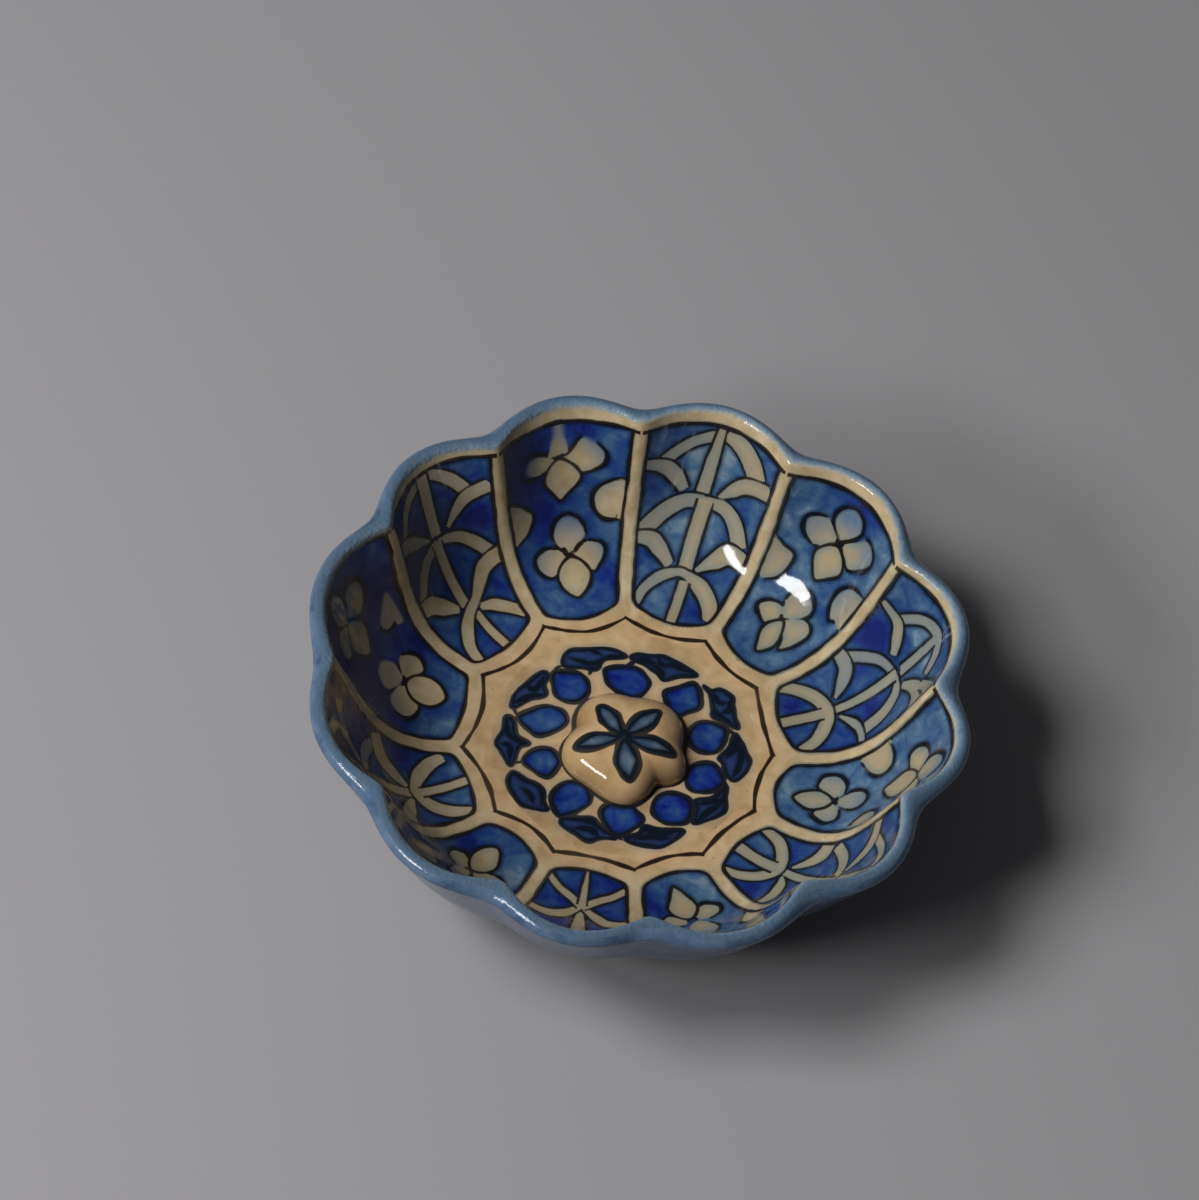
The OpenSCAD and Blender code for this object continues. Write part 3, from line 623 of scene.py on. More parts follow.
wallPanels[10] = {"tone": 0.44, "washesAndShade": [
    (1, 48, 5.5, 0.5), (12, 42, 5, -0.2), (-12, 45, 5, -0.1), (-10, 16, 5, -0.1), (2, 25, 5, 0.1), (8, 10, 4, -0.1),
    (-2, 5, 6, 0)
], "strokes": [
    ("petal", [(0.6, 38), (3.4, 41.6), (5.6, 44), (8.4, 44), (10, 42.2), (9.6, 39.8), (7.4, 36.8), (4.8, 34.8),
               (2.6, 36)], ((3, 37.5), (9, 42.5), 0.85)),
    ("line", [(3.6, 44.1), (7.2, 44.5), (10.2, 43.2), (10.3, 40.6), (8, 37.3), (4.7, 34.3)]),
    ("petal", [(-0.8, 37.6), (-4.4, 41.4), (-7.6, 41.4), (-9.4, 39.6), (-8.8, 36.6), (-6.2, 34.3), (-3, 34.6)],
     ((-2, 36.5), (-9, 40.5), 0.75)),
    ("line", [(-4.6, 42.3), (-7.4, 41.6), (-9.7, 40.2), (-9.6, 37.8), (-8.4, 35.6), (-6.2, 34)]),
    ("petal", [(-0.4, 38.2), (-3.6, 41), (-4.2, 43.8), (-2.8, 46.4), (-0.2, 47.3), (2.4, 46), (3.4, 43.4),
               (2.2, 40.4)], ((-0.4, 38), (-0.2, 45), 1)),
    ("line", [(-0.8, 39), (-3.4, 40.8), (-4.4, 43.6), (-3, 46.4), (-0.2, 47.5), (2.6, 46.2), (3.5, 43.6),
              (2, 40.6), (-0.6, 38), (-2.4, 36.4)]),
    ("outlined", [(-0.4, 37), (-2.8, 35.4), (-4, 32.8), (-3, 30), (-0.5, 27.3), (2.2, 29.6), (4.1, 32.2),
                  (3.6, 34.6), (1.6, 36.4)], ((0, 33), (3.5, 29), 0.2)),
    ("petal", [(-0.8, 16.2), (-2.8, 18.6), (-3.2, 21), (-1.6, 23.4), (1, 24), (3.6, 22.4), (3.6, 20), (1.6, 17.6)],
     ((0, 18), (0.4, 24), 0.6)),
    ("line", [(-2.8, 18.6), (-3.4, 21), (-1.8, 23.6), (1, 24.4), (3.6, 22.8), (4, 20.6), (2.4, 18), (-0.8, 16),
              (-2, 14.8)]),
    ("petal", [(-1.2, 15.9), (-3, 18.4), (-5.8, 17.8), (-7.3, 16), (-6.4, 14.4), (-3.4, 12.8), (-2.4, 14)], 0.02),
    ("line", [(-2.8, 18.8), (-5.8, 18), (-7.6, 16.1), (-6.6, 14.3), (-3.2, 12.5)]),
    ("petal", [(-0.4, 16), (2.6, 18.6), (4.8, 19.6), (6.6, 18.6), (6.8, 16.6), (5.6, 12.9), (4, 10.6), (2.8, 12.6)]
     , 0.1),
    ("line", [(3.6, 19.9), (6.2, 19.3), (7.2, 17.4), (5.9, 12.9), (3.9, 10.2)]),
    ("outlined", [(-0.2, 16), (-2.4, 13.8), (-2.6, 11.4), (-1, 8.6), (0.8, 6.6), (2.2, 8.4), (2.8, 10.8),
                  (1.8, 13.6)], 0.02),
    ("line", [(-0.6, 38), (0.6, 37.4), (2.6, 35.8)]),
    ("petal", [(-14.4, 33.2), (-10.7, 31), (-7.9, 29.8), (-7.3, 27.2), (-7.8, 23.6), (-9.9, 22), (-12.6, 22.6)],
     0.1),
    ("line", [(-13.9, 32.9), (-10.7, 31.1), (-7.9, 30), (-7.1, 27.3), (-7.7, 23.4), (-9.9, 21.2)]),
    ("petal", [(14.8, 36), (10.5, 34.6), (7.5, 32.2), (6.2, 29), (6.6, 26), (8.6, 24.2), (10.4, 25.2), (13.6, 26)],
     ((13, 28), (6.8, 32), 0.85)),
    ("line", [(14.6, 36), (10.5, 34.8), (7.4, 32.3), (6, 29.1), (6.4, 26), (8.4, 23.8), (9.9, 24.8)]),
]}
wallPanels[11] = {"tone": 0.5, "washesAndShade": [
    (0, 41, 9, -0.16), (-10, 17, 4, 0.3), (-11, 34, 4, 0.25), (10, 35, 4, 0.2), (5, 6, 3, 0.4), (-5, 25, 4, -0.25),
    (3, 26, 3, -0.2), (-4, 41, 4, -0.3), (3, 42, 3, -0.3), (-12, 46, 5, 0.05)
], "strokes": [
    ("band", [(0, 47.3), (-4.5, 45.3), (-8, 42.8), (-10.5, 40.5)], (1.6, 1.6, 1.8, 2), 0.36),
    ("band", [(2, 48), (6, 47), (9.5, 44.5), (11.5, 42)], (1.6, 2.5, 3, 3), 0.15),
    ("band", [(-0.3, 33), (0.2, 41), (1, 51)], (1.8, 1.6, 0.9), 0.21),
    ("band", [(-4.5, 33), (-7.2, 36.6), (-10.2, 39.2), (-15.6, 41.2)], (1.4, 2, 1.9, 1.4), 0.4),
    ("band", [(3.5, 33), (6.3, 36), (9.3, 38.9), (16, 41.9)], (0.7, 1.6, 1.9, 2), 0.12),
    ("band", [(0.5, 31), (-4, 30.3), (-8, 27.6), (-11.9, 23)], (1.8, 2, 2.4, 2.6), 0.4),
    ("band", [(0.5, 31), (3, 31.2), (6, 31), (9, 29), (11.4, 25)], (1.5, 1.6, 2, 2.4, 2.5), 0.24),
    ("band", [(0.3, 14.5), (0.3, 22), (0.8, 31.5)], (1.9, 1.9, 1.9), 0.04),
    ("band", [(-3.4, 15.6), (-6.8, 19), (-9.5, 21.2), (-14.5, 21.8)], (1.3, 2, 2, 1.7), 0.25),
    ("band", [(2.8, 15.8), (6.5, 19.5), (9.5, 22.3), (14.5, 22.7)], (0.8, 2, 2.5, 2.4), 0.12),
    ("band", [(-8.3, 4.5), (-7.5, 9), (-5, 12.4), (-1.5, 14.3), (1, 14.3), (5, 12.6), (8, 9.8), (9.4, 5.5)],
     (1.3, 1.5, 1.7, 1.2, 1.2, 2.3, 2.4, 1.8), ((6, 11), (-7, 11), 0.45)),
    ("band", [(0.9, 0), (1, 7), (1, 12.8)], (1.4, 1.4, 1.4), 0.08),
]}


def roundedLess(a, b, k):  # the smaller of two distances, with their corner rounded over k mm
    h = np.maximum(k - np.abs(a - b), 0) / k
    return np.minimum(a, b) - h * h * k / 4


def paintWall(coat, angle, run):
    layout = wallLayout
    y = run - layout["baseRadius"]
    radius = np.interp(run, insideRun, meanInside[:, 0])
    lean = np.clip(1 - y / layout["leanEnds"], 0, layout["leanMost"])
    lobeMiddles = (ribAngles[:-1] + ribAngles[1:]) / 2
    shift = np.interp(angle, lobeMiddles, layout["lipShift"], period=360)
    coat["rise"] = y - shift * np.clip((y - layout["lipShiftStarts"]) / layout["lipShiftRun"], 0, 1)
    for i, panel in wallPanels.items():
        j = (i + 1) % lobeCount
        own = {key: value[i] for key, value in layout.items() if isinstance(value, tuple)}
        rib, nextRib, middle = ribAngles[i], ribAngles[i + 1], lobeMiddles[i] + own["aim"]
        off = (angle - middle + 180) % 360 - 180
        ids = np.flatnonzero(np.abs(off) < layout["reach"])
        off, pr, py, tilt = off[ids], radius[ids], y[ids], lean[ids]
        px = -np.radians(off) * pr
        leanRight, leanLeft = own["ribLean"], layout["ribLean"][j]
        right = np.radians(middle - rib - leanRight * tilt) * pr - layout["ribHalf"]
        left = -np.radians(nextRib - middle + leanLeft * tilt) * pr + layout["ribHalf"]
        slide = np.clip((py - layout["driftStarts"]) / layout["driftRun"], 0, layout["driftMost"])
        sx, sy = (at - far * slide ** layout["driftBend"] for at, far in zip((px, py), own["drift"]))
        # the panel's edge, which the hand draws a little shakily
        share = np.clip(2 * (px - left) / (right - left) - 1, -layout["sideMost"], layout["sideMost"])
        foot = own["panelFoot"] + (own["panelFootSides"] - own["panelFoot"]) * share ** 2
        tops = layout["topAtRib"][j], own["topInside"], own["topInside"], own["topAtRib"]
        top = np.interp(share, (-1, -0.5, 0.5, 1), tops)
        wobble = 0.06 * np.sin(0.4 * py + i) + 0.04 * np.sin(0.9 * py + 2.3 * i)
        field = roundedLess(px - left + wobble, right - px + wobble, layout["sideRound"])
        field = roundedLess(field, py - foot, layout["footRound"])
        field = roundedLess(field, top - py, layout["topRound"])
        local = newCoat(len(px))
        local["blue"] = field.copy()
        local["hold"][:] = 1
        local["tone"][:] = panel["tone"]
        local["dull"][:] = own["dull"]
        wash(local, sx, sy, panel["washesAndShade"])
        # painted shade: the smoke darkens the cream to olive and the blue to slate where the wall lies in shadow
        wash(local, sx, sy, panel.get("smokeAndShade", ()), "dull")
        paint(local, sx, sy, panel["strokes"], seed=i)
        # strokes stop at the edge of their panel, which has its own line
        pen = penWidth(px, py, i) * layout["pen"]
        local["ink"] = np.maximum(np.minimum(local["ink"], field + pen), pen * layout["edgePen"] - np.abs(field))
        local["hold"] = np.maximum(local["hold"], heldBy(np.abs(field)))
        inside = field > -layout["edgeReach"]
        shown = ids[inside]
        for key in ("ink", "blue"):
            coat[key][shown] = np.maximum(coat[key][shown], local[key][inside])
        for key in ("tone", "dull", "tint", "hold"):
            coat[key][shown] = local[key][inside]
        # the line along the top runs on over the ribs
        over = (px > left - layout["ribHalf"]) & (px < right + layout["ribHalf"])
        topLine = np.where(over, pen * layout["topPen"] - np.abs(py - top), farOff)
        # one side of the twelve-cornered line round the floor
        corner = (off - leanRight * tilt - rib + middle) / (nextRib - rib + (leanLeft - leanRight) * tilt)
        within = np.abs(corner - 0.5) < 0.5 + layout["floorOverrun"]
        ends = own["floorCorners"], layout["floorCorners"][j]
        bow = own["floorSides"] - sum(ends) / 2
        line = ends[0] + (ends[1] - ends[0]) * corner + 4 * bow * corner * (1 - corner)
        floorLine = np.where(within, pen * layout["floorPen"] - np.abs(py - line) * layout["floorSlant"], farOff)
        coat["ink"][ids] = np.maximum.reduce([coat["ink"][ids], topLine, floorLine])


# Rosette on the floor, in mm on the plan: x to the right, y away from the viewer
rosette = {
    "petals": [
        [(-6.6, 18.8), (-4.1, 20.2), (0.3, 20.8), (3.1, 18.6), (3.9, 16.3), (2.6, 13.6), (0.3, 12.2), (-2.4, 13),
         (-5.5, 15.2)],
        [(-18.2, 16.4), (-15, 17.1), (-11.9, 16.9), (-9.9, 14.7), (-9.7, 11.9), (-11.9, 9.1), (-16.3, 9.4),
         (-18, 13)],
        [(-24.7, 2.7), (-21.9, 5.2), (-18.6, 6.9), (-15.2, 6.3), (-13.6, 4.1), (-14.7, 1.3), (-19.1, -1.4),
         (-21.9, -0.3)],
        [(-22.2, -8.7), (-20.2, -5.6), (-16.3, -4.5), (-14.1, -7), (-14.1, -9.2), (-16.1, -12.3), (-19.7, -10.9)],
        [(-14.7, -17), (-13, -13.7), (-10.2, -12.3), (-6.9, -13.7), (-5.8, -17), (-8, -19.8), (-11.9, -22),
         (-13.8, -20.3)],
        [(-3.3, -19.2), (-1.3, -16.7), (2.6, -16.4), (4.8, -18.1), (6.4, -20.3), (2.8, -24.2), (0.3, -24.8),
         (-1.9, -22.6)],
        [(8.1, -16.4), (9.2, -13.1), (12, -11.7), (15.9, -12.6), (17, -15.9), (15.9, -19.2), (12, -20), (9.2, -18.7)],
        [(14.8, -5.3), (16.7, -3.1), (19.8, -2.3), (22, -3.7), (23.4, -7), (20.9, -9.8), (17, -10.6), (15.1, -8.7)],
        [(13.9, 4.1), (15.3, 7.4), (17.6, 8.6), (22.3, 7.7), (22.3, 3.6), (20.9, 0.8), (18.1, 0.2), (15.3, 1.3)],
        [(7.6, 15.2), (10.3, 16.9), (13.9, 18.6), (15.6, 16.3), (15.9, 12.4), (13.1, 10.2), (10.9, 9.1), (8.7, 11.3)],
    ],
    "wings": [
        [(-16.6, 20.2), (-15.2, 23), (-11.9, 23.8), (-8, 24.9), (-4.7, 24.7), (-2.4, 23.3), (-6.9, 21.6),
         (-8.6, 18.8), (-11.3, 18.6), (-15.8, 18.3)],
        [(-1.1, 23.3), (0.3, 24.7), (3.1, 24.7), (6.4, 24.9), (9.2, 23.8), (12, 22.7), (14.5, 20.8), (10.3, 19.9),
         (7, 18.3), (5.3, 19.9), (2, 21.9)],
        [(16.2, 18.4), (18.1, 17.4), (20.3, 18), (23.1, 16.3), (23.4, 14.1), (24.2, 10.8), (25.1, 8), (22, 9.1),
         (18.9, 10.4), (18.7, 13.6), (17.6, 16.3)],
        [(24.5, 6.3), (26.4, 4.1), (27.8, 1.3), (28.7, -0.9), (27.6, -4.2), (25.6, -6.2), (23.7, -4.8), (22.6, -2),
         (21.7, -0.6), (23.4, 2.4)],
        [(23.9, -7.6), (24.2, -10.9), (24.2, -14.8), (20.9, -17.6), (17.8, -18.9), (18.1, -15.3), (17.6, -12.6),
         (21.4, -11.4)],
        [(7, -21.4), (9.8, -21.7), (15.3, -21.2), (14.8, -23.1), (11.4, -26.4), (8.1, -26.7), (4.2, -26.4),
         (3.1, -25.3), (5.9, -23.7)],
        [(-11.3, -22.3), (-8, -21.7), (-4.7, -21.2), (-2.4, -23.7), (0.9, -25.9), (-2.4, -26.4), (-5.2, -27.6),
         (-8.6, -25.9), (-11.6, -24.2)],
        [(-24.1, -12), (-21.3, -13.1), (-16.9, -15.3), (-16.1, -18.7), (-15.2, -20.9), (-19.7, -20.9), (-22.4, -19.2),
         (-24.7, -15.3)],
        [(-27.4, 2.4), (-25.5, 1.9), (-24.4, -2), (-21.3, -3.9), (-23.3, -5.3), (-24.1, -9.8), (-25.2, -10.3),
         (-27.4, -7), (-28.8, -4.8), (-27.7, -1.4)],
        [(-26.6, 5.8), (-26.1, 9.1), (-24.1, 11.9), (-20.8, 16.1), (-19.1, 15.2), (-19.7, 12.4), (-19.1, 9.7),
         (-22.4, 8), (-25.5, 5.2)],
    ],
    "stalks": [[(-2, 20.4), (-1, 21.6), (0, 22.6)], [(-18.2, 16.2), (-17.6, 17.6), (-16.4, 18.4)],
               [(0.6, -24.6), (1.4, -25.4), (2.6, -26)], [(-24.6, 2.9), (-25.4, 4), (-26, 5.2)],
               [(22.2, 7.6), (23.4, 7), (24.4, 6.4)], [(-22.2, -9), (-23.4, -9.4), (-24.4, -9.6)],
               [(23.4, -7), (23.8, -7.4), (24, -8.4)]],
    "wingStrokes": [
        [(-15, 21), (-11.5, 20.2), (-9, 20.6), (-6, 22.6), (-3, 23.6)], [(-14.6, 23.2), (-11, 24), (-8, 23)],
        [(-9.4, 19.4), (-9.8, 18), (-10.2, 16.8)],
        [(-0.4, 24), (3.6, 22.8), (6, 20.8), (7, 19)], [(4.6, 25), (6.4, 22.4), (9, 22.8), (14, 21)],
        [(16.4, 18.2), (18.2, 15.6), (19, 12.2), (21.6, 10.4), (24.8, 8.4)], [(18.4, 17.2), (20, 14.4), (22, 14.6)],
        [(22.8, 15.8), (22.6, 13), (21, 11.6)],
        [(24.6, 6), (24.8, 2.4), (23, -0.4)], [(25.4, 4), (26.6, 0.6), (26, -3), (25.2, -5.6)],
        [(24, -8), (23.6, -11.8), (20.4, -12.6), (18.4, -13.8)], [(23.4, -13), (21, -15), (18.4, -18.4)],
        [(6, -22), (9.4, -22.8), (15, -21.6)], [(5, -25.4), (9, -24), (13, -23.8)],
        [(-11, -22.6), (-6.4, -22.2), (-3.6, -22.8), (-1.6, -25)], [(-9, -24.6), (-5, -24.4), (-3, -26)],
        [(-24, -12.6), (-20, -14), (-17.2, -15.6), (-16.4, -20)], [(-21.4, -16), (-19.4, -17.4), (-18.4, -19.6)],
        [(-27, 2), (-26.4, -2), (-24, -3.4), (-21.6, -4)], [(-27.6, -5), (-25.6, -5.4), (-25, -9.6)],
        [(-26.4, 6), (-23.6, 8.4), (-19.4, 9.8)], [(-23.8, 11.6), (-21.6, 11), (-20, 15.4)],
    ],
    "petalTone": 0.81,
    "petalWeight": 1.75,
    "petalReach": 0.9,
    "petalEdge": 0.1,
    "petalLight": (2.6, -0.14),  # size and strength of the paler middle
    "wingTone": 0.84,
    "wingDull": 0.6,
    "wingWeight": 1.5,
    "strokeWeight": 1.4,
    "bossLine": (0.85, 0.3),  # width of the line round the boss, and how much it swells
    "stains": [(5.5, -15.8, 2.8, 0.55), (24, -18, 4.5, 0.4), (-17, -24, 4, 0.3), (-25, 14, 5, 0.3), (27, 12, 5, 0.2),
               (-30, -3, 4, 0.2), (8, 27, 5, 0.25), (2, -30, 5, 0.25)],
}


def paintFloor(coat, x, y):
    strokes = {key: [(kind, points) for points in rosette[key]]
               for key, kind in (("wings", "leaf"), ("petals", "leaf"), ("stalks", "line"), ("wingStrokes", "line"))}
    paint(coat, x, y, strokes["wings"], seed=1, weight=rosette["wingWeight"])
    coat["tone"][:] = rosette["wingTone"]
    coat["dull"][:] = rosette["wingDull"]
    petals = newCoat(len(x))
    paint(petals, x, y, strokes["petals"], seed=4, weight=rosette["petalWeight"])
    coat["tone"][petals["blue"] > -rosette["petalReach"]] = rosette["petalTone"]
    coat["dull"][petals["blue"] > -rosette["petalEdge"]] = 0
    wash(coat, x, y, [(*np.mean(outline, 0), *rosette["petalLight"]) for outline in rosette["petals"]])
    for key in ("ink", "blue", "hold"):
        coat[key] = np.maximum(coat[key], petals[key])
    paint(coat, x, y, strokes["stalks"], seed=2)
    paint(coat, x, y, strokes["wingStrokes"], seed=3, weight=rosette["strokeWeight"])
    # one brush line round the foot of the boss
    outX, outY = x - bossForm["x"], y - bossForm["y"]
    angle = np.degrees(np.arctan2(outY, outX))
    edge = bossPoint(angle, np.zeros(len(x)), glaze)
    gap = np.hypot(outX, outY) - np.hypot(edge[:, 0] - bossForm["x"], edge[:, 1] - bossForm["y"])
    wide, swells = rosette["bossLine"]
    coat["ink"] = np.maximum(coat["ink"], wide + swells * np.sin(np.radians(angle) * 3) - gap)
    coat["rise"][:] = floorMark
    wash(coat, x, y, rosette["stains"], "tint")


star = {
    "middle": (-0.5, -3.3),
    "petals": [(50, 11.4, 4.2), (128, 10.2, 3.9), (197, 10.8, 3.7), (285, 10.4, 5.2), (353, 12, 3.6)],
    "side": ((0.36, 0.3), (0.5, 0.6), (0.3, 0.86)),  # shares of a petal's width and length
    "root": 0.2,
    "heart": 1.1,
    "weight": 2.2,
    "tone": 0.16,
    "dull": 0.7,
    "dullReach": 0.2,
    "poolStarts": 0.4,
    "poolEnds": 0.92,
    "poolMost": 0.9,
    "poolEven": 0.3,
    "poolInNotch": 0.9,
}


def paintBoss(coat, x, y):
    mx, my = star["middle"]
    strokes = []
    for angle, length, width in star["petals"]:
        side = [(a * width, b * length) for a, b in star["side"]]
        outline = [(0, star["root"])] + side + [(0, length)] + [(-a, b) for a, b in side[::-1]]
        turn = math.radians(angle) - math.pi / 2  # an outline's own y points out from the middle
        c, s = math.cos(turn), math.sin(turn)
        strokes.append(("leaf", [(mx + c * a - s * b, my + s * a + c * b) for a, b in outline]))
    paint(coat, x, y, strokes, weight=star["weight"])
    coat["tone"][:] = star["tone"]
    coat["dull"] = np.where(coat["blue"] > -star["dullReach"], star["dull"], 0)
    coat["ink"] = np.maximum(coat["ink"], star["heart"] - np.hypot(x - mx, y - my))
    coat["rise"][:] = floorMark
    # the glaze gathered in the notches and round the foot
    outX, outY = x - bossForm["x"], y - bossForm["y"]
    out = np.hypot(outX, outY) * 2 / bossForm["width"]
    pooled = np.clip((out - star["poolStarts"]) / (star["poolEnds"] - star["poolStarts"]), 0, 1)
    dip = bossDip(np.degrees(np.arctan2(outY, outX)))
    coat["tint"] = star["poolMost"] * pooled * (star["poolEven"] + star["poolInNotch"] * dip)


# Materials; the sizes of patterns, heights and reaches are in mm
paintedLook = {
    "cream": ("#a8946f", "#b8a582", "#c6b494"),
    "warmCream": ("#ae8f66", "#bfa076", "#caae87"),
    "creamStops": (0.3, 0.5, 0.72),
    "warmRise": (-4, 9),  # the floor's warmer cream gives way to the wall's
    "speck": "#7a5638",
    "speckEdge": (0.03, 0.09),
    "speckMost": 0.45,
    "greyBlue": "#516c88",
    "pool": "#7a5a30",
    "olive": "#66654c",
    "smokeAndShade": (2.4, -0.2),
    "wallSmokeAndShade": 1.5,
    "blues": ((0.0, "#8598a4"), (0.3, "#4c6c8b"), (0.6, "#29497a"), (0.85, "#142f79"), (1.0, "#0a1868")),
    "streaks": (1.1, 0.5, 0.25),  # of the cloudy, broad and fine pattern
    "streakLevel": -0.925,
    "slate": "#2c3c4c",
    "slaty": (0.9, 0.5),
    "wallSlaty": 0.6,
    "ragged": 0.24,
    "dullRagged": 3.0,
    "petalFade": (-1.5, 0.5),
    "washEdge": (-0.1, 0.3),
    "bleed": "#747f7a",
    "bleedReach": 2.4,
    "bleedMost": 1.6,
    "wallSeep": 4.2,
    "ink": "#1c1208",
    "blueInk": "#0b131e",
    "inkEdge": (-0.18, 0.12),
    "inkCover": 0.98,
    "inkLoad": (0.3, 0.55, 0.9),
    "halo": "#0d1428",
    "haloReach": 1.0,
    "haloMost": 0.6,
    "lip": ((0.0, "#9aa5a0"), (0.35, "#8092a0"), (0.75, "#5a7085"), (1.0, "#4f6478")),
    "lipStarts": 51.7,
    "lipSoft": 3.6,
    "lipDrift": (2.0, 1.4),  # of the cloudy and fine pattern
    "lipGrain": 0.8,
    "roughness": 0.08,
    "cobaltRoughness": 0.22,
    "ior": 1.5,
    "fine": 1.1,
    "cloud": 5.0,
    "broad": 22.0,
    "shaky": 2.6,
    "specks": 4.5,
    "waves": (7.0, 0.4, 0.45),  # size, height and strength
    "pricks": (0.1, 0.2),  # depth and strength
    "prickEdge": (0.02, 0.06),
    "grain": (0.9, 0.3),  # size and height
}


def paintedGlaze():
    # cobalt and black painted under a clear alkaline glaze: deep wet gloss, brush edges that bleed a little,
    # cream slip that shows warm and cloudy between them
    look = paintedLook
    material, add = newMaterial("painted_cream_glaze")
    place = add("TexCoord", out="Object")
    marks = [add("Attribute", out="Fac", attribute_name=key) for key in coatMarks]
    ink, blueIn, hold, tone, dull, tint, rise = marks
    fine = add("TexNoise", place, perMm(look["fine"]), 3.0)
    cloud = add("TexNoise", place, perMm(look["cloud"]), 4.0, named={"Distortion": 0.6})
    broad = add("TexNoise", place, perMm(look["broad"]), 2.0)
    # cream ground, clouded, with a few brown specks of iron
    cream = add("ValToRGB", cloud, stops=zip(look["creamStops"], look["cream"]))
    warm = add("ValToRGB", cloud, stops=zip(look["creamStops"], look["warmCream"]))
    cream = add("Mix RGBA", add("MapRange SMOOTHSTEP", rise, *look["warmRise"], 1, 0), cream, warm)
    dots = add("TexVoronoi", place, perMm(look["specks"]))
    specks = add("MapRange", dots, *look["speckEdge"], look["speckMost"], 0)
    cream = add("Mix RGBA", specks, cream, look["speck"])
    # on the wall the cream is smoky, with painted shade where the upper left lobes lie in shadow, and greys into the
    # wash; on the floor and boss it is stained brown
    onFloor = add("Math LESS_THAN", rise, floorMark + 2)
    smokeAndShadeMix = add("Math MULTIPLY_ADD", cloud, *look["smokeAndShade"])
    smokeAndShadeMix = add("Math MULTIPLY", smokeAndShadeMix, add("MapRange", onFloor, 0, 1, look["wallSmokeAndShade"], 0))
    smokeAndShadeMix = add("Math MULTIPLY", smokeAndShadeMix, dull, use_clamp=True)
    cream = add("Mix RGBA", smokeAndShadeMix, cream, look["olive"])
    tint = add("Math MULTIPLY", tint, add("Math ADD", cloud, 0.5), use_clamp=True)
    cream = add("Mix RGBA", tint, cream, add("Mix RGBA", onFloor, look["greyBlue"], look["pool"]))
    # blue wash, streaked by the brush and slaty in places; high on the upper left lobes its depth and slate are
    # partly painted shade
    streak = look["streakLevel"]
    for pattern, share in zip((cloud, broad, fine), look["streaks"]):
        streak = add("Math MULTIPLY_ADD", pattern, share, streak)
    deep = add("Math ADD", tone, streak)
    blue = add("ValToRGB", deep, stops=look["blues"])
    slaty = add("Math MULTIPLY", add("Math MULTIPLY_ADD", cloud, *look["slaty"]), dull)
    slaty = add("Math MULTIPLY", slaty, add("MapRange", onFloor, 0, 1, look["wallSlaty"], 1), use_clamp=True)
    blue = add("Mix RGBA", slaty, blue, look["slate"])
    # a petal's tip runs softly into the wash, the other edges are crisp
    shaky = add("TexNoise", place, perMm(look["shaky"]), 2.0)
    ragged = add("Math MULTIPLY_ADD", shaky, look["ragged"], -look["ragged"] / 2)
    ragged = add("Math MULTIPLY", ragged, add("Math MULTIPLY_ADD", dull, look["dullRagged"], 1))
    blueEdge = add("Math ADD", blueIn, ragged)
    fades = [add("Math MULTIPLY_ADD", tint, *ends) for ends in zip(look["petalFade"], look["washEdge"])]
    isBlue = add("MapRange SMOOTHSTEP", blueEdge, *fades)
    # cobalt seeps into the cream forms on the wall, and the floor's darkest leaves bled into the cream round them
    bleeds = add("MapRange SMOOTHSTEP", blueEdge, -look["bleedReach"], 0, 0, look["bleedMost"])
    bleeds = add("Math MULTIPLY", bleeds, cloud)
    bleeds = add("Math MULTIPLY", bleeds, add("MapRange", onFloor, 0, 1, look["wallSeep"], 1))
    bleeds = add("Math MULTIPLY", bleeds, dull, use_clamp=True)
    cream = add("Mix RGBA", bleeds, cream, look["bleed"])
    colour = add("Mix RGBA", isBlue, cream, blue)
    # ink line along the edge of the wash and wherever the brush drew one, with a soft halo where it bled
    lined = add("Math MULTIPLY_ADD", hold, 2 + brush["halfWidth"], -2)
    lined = add("Math SUBTRACT", lined, add("Math ABSOLUTE", blueEdge))
    inkIn = add("Math MAXIMUM", add("Math MULTIPLY_ADD", ragged, 0.4, ink), lined)
    halo = add("MapRange SMOOTHSTEP", inkIn, -look["haloReach"], 0, 0, look["haloMost"])
    colour = add("Mix RGBA", add("Math MULTIPLY", halo, isBlue), colour, look["halo"])
    isInk = add("MapRange SMOOTHSTEP", inkIn, *look["inkEdge"], 0, look["inkCover"])
    isInk = add("Math MULTIPLY", isInk, add("MapRange", broad, *look["inkLoad"], 1))
    bluish = add("Math MAXIMUM", onFloor, isBlue)
    colour = add("Mix RGBA", isInk, colour, add("Mix RGBA", bluish, look["ink"], look["blueInk"]))
    # the outer glaze laps over the lip and thins out down the inside
    lipEdge = rise
    for pattern, share in zip((cloud, fine), look["lipDrift"]):
        lipEdge = add("Math MULTIPLY_ADD", pattern, share, lipEdge)
    overLip = add("MapRange", lipEdge, look["lipStarts"], look["lipStarts"] + look["lipSoft"])
    isLip = add("MapRange SMOOTHSTEP", overLip, 0, 0.5)
    colour = add("Mix RGBA", isLip, colour, add("ValToRGB", overLip, stops=look["lip"]))
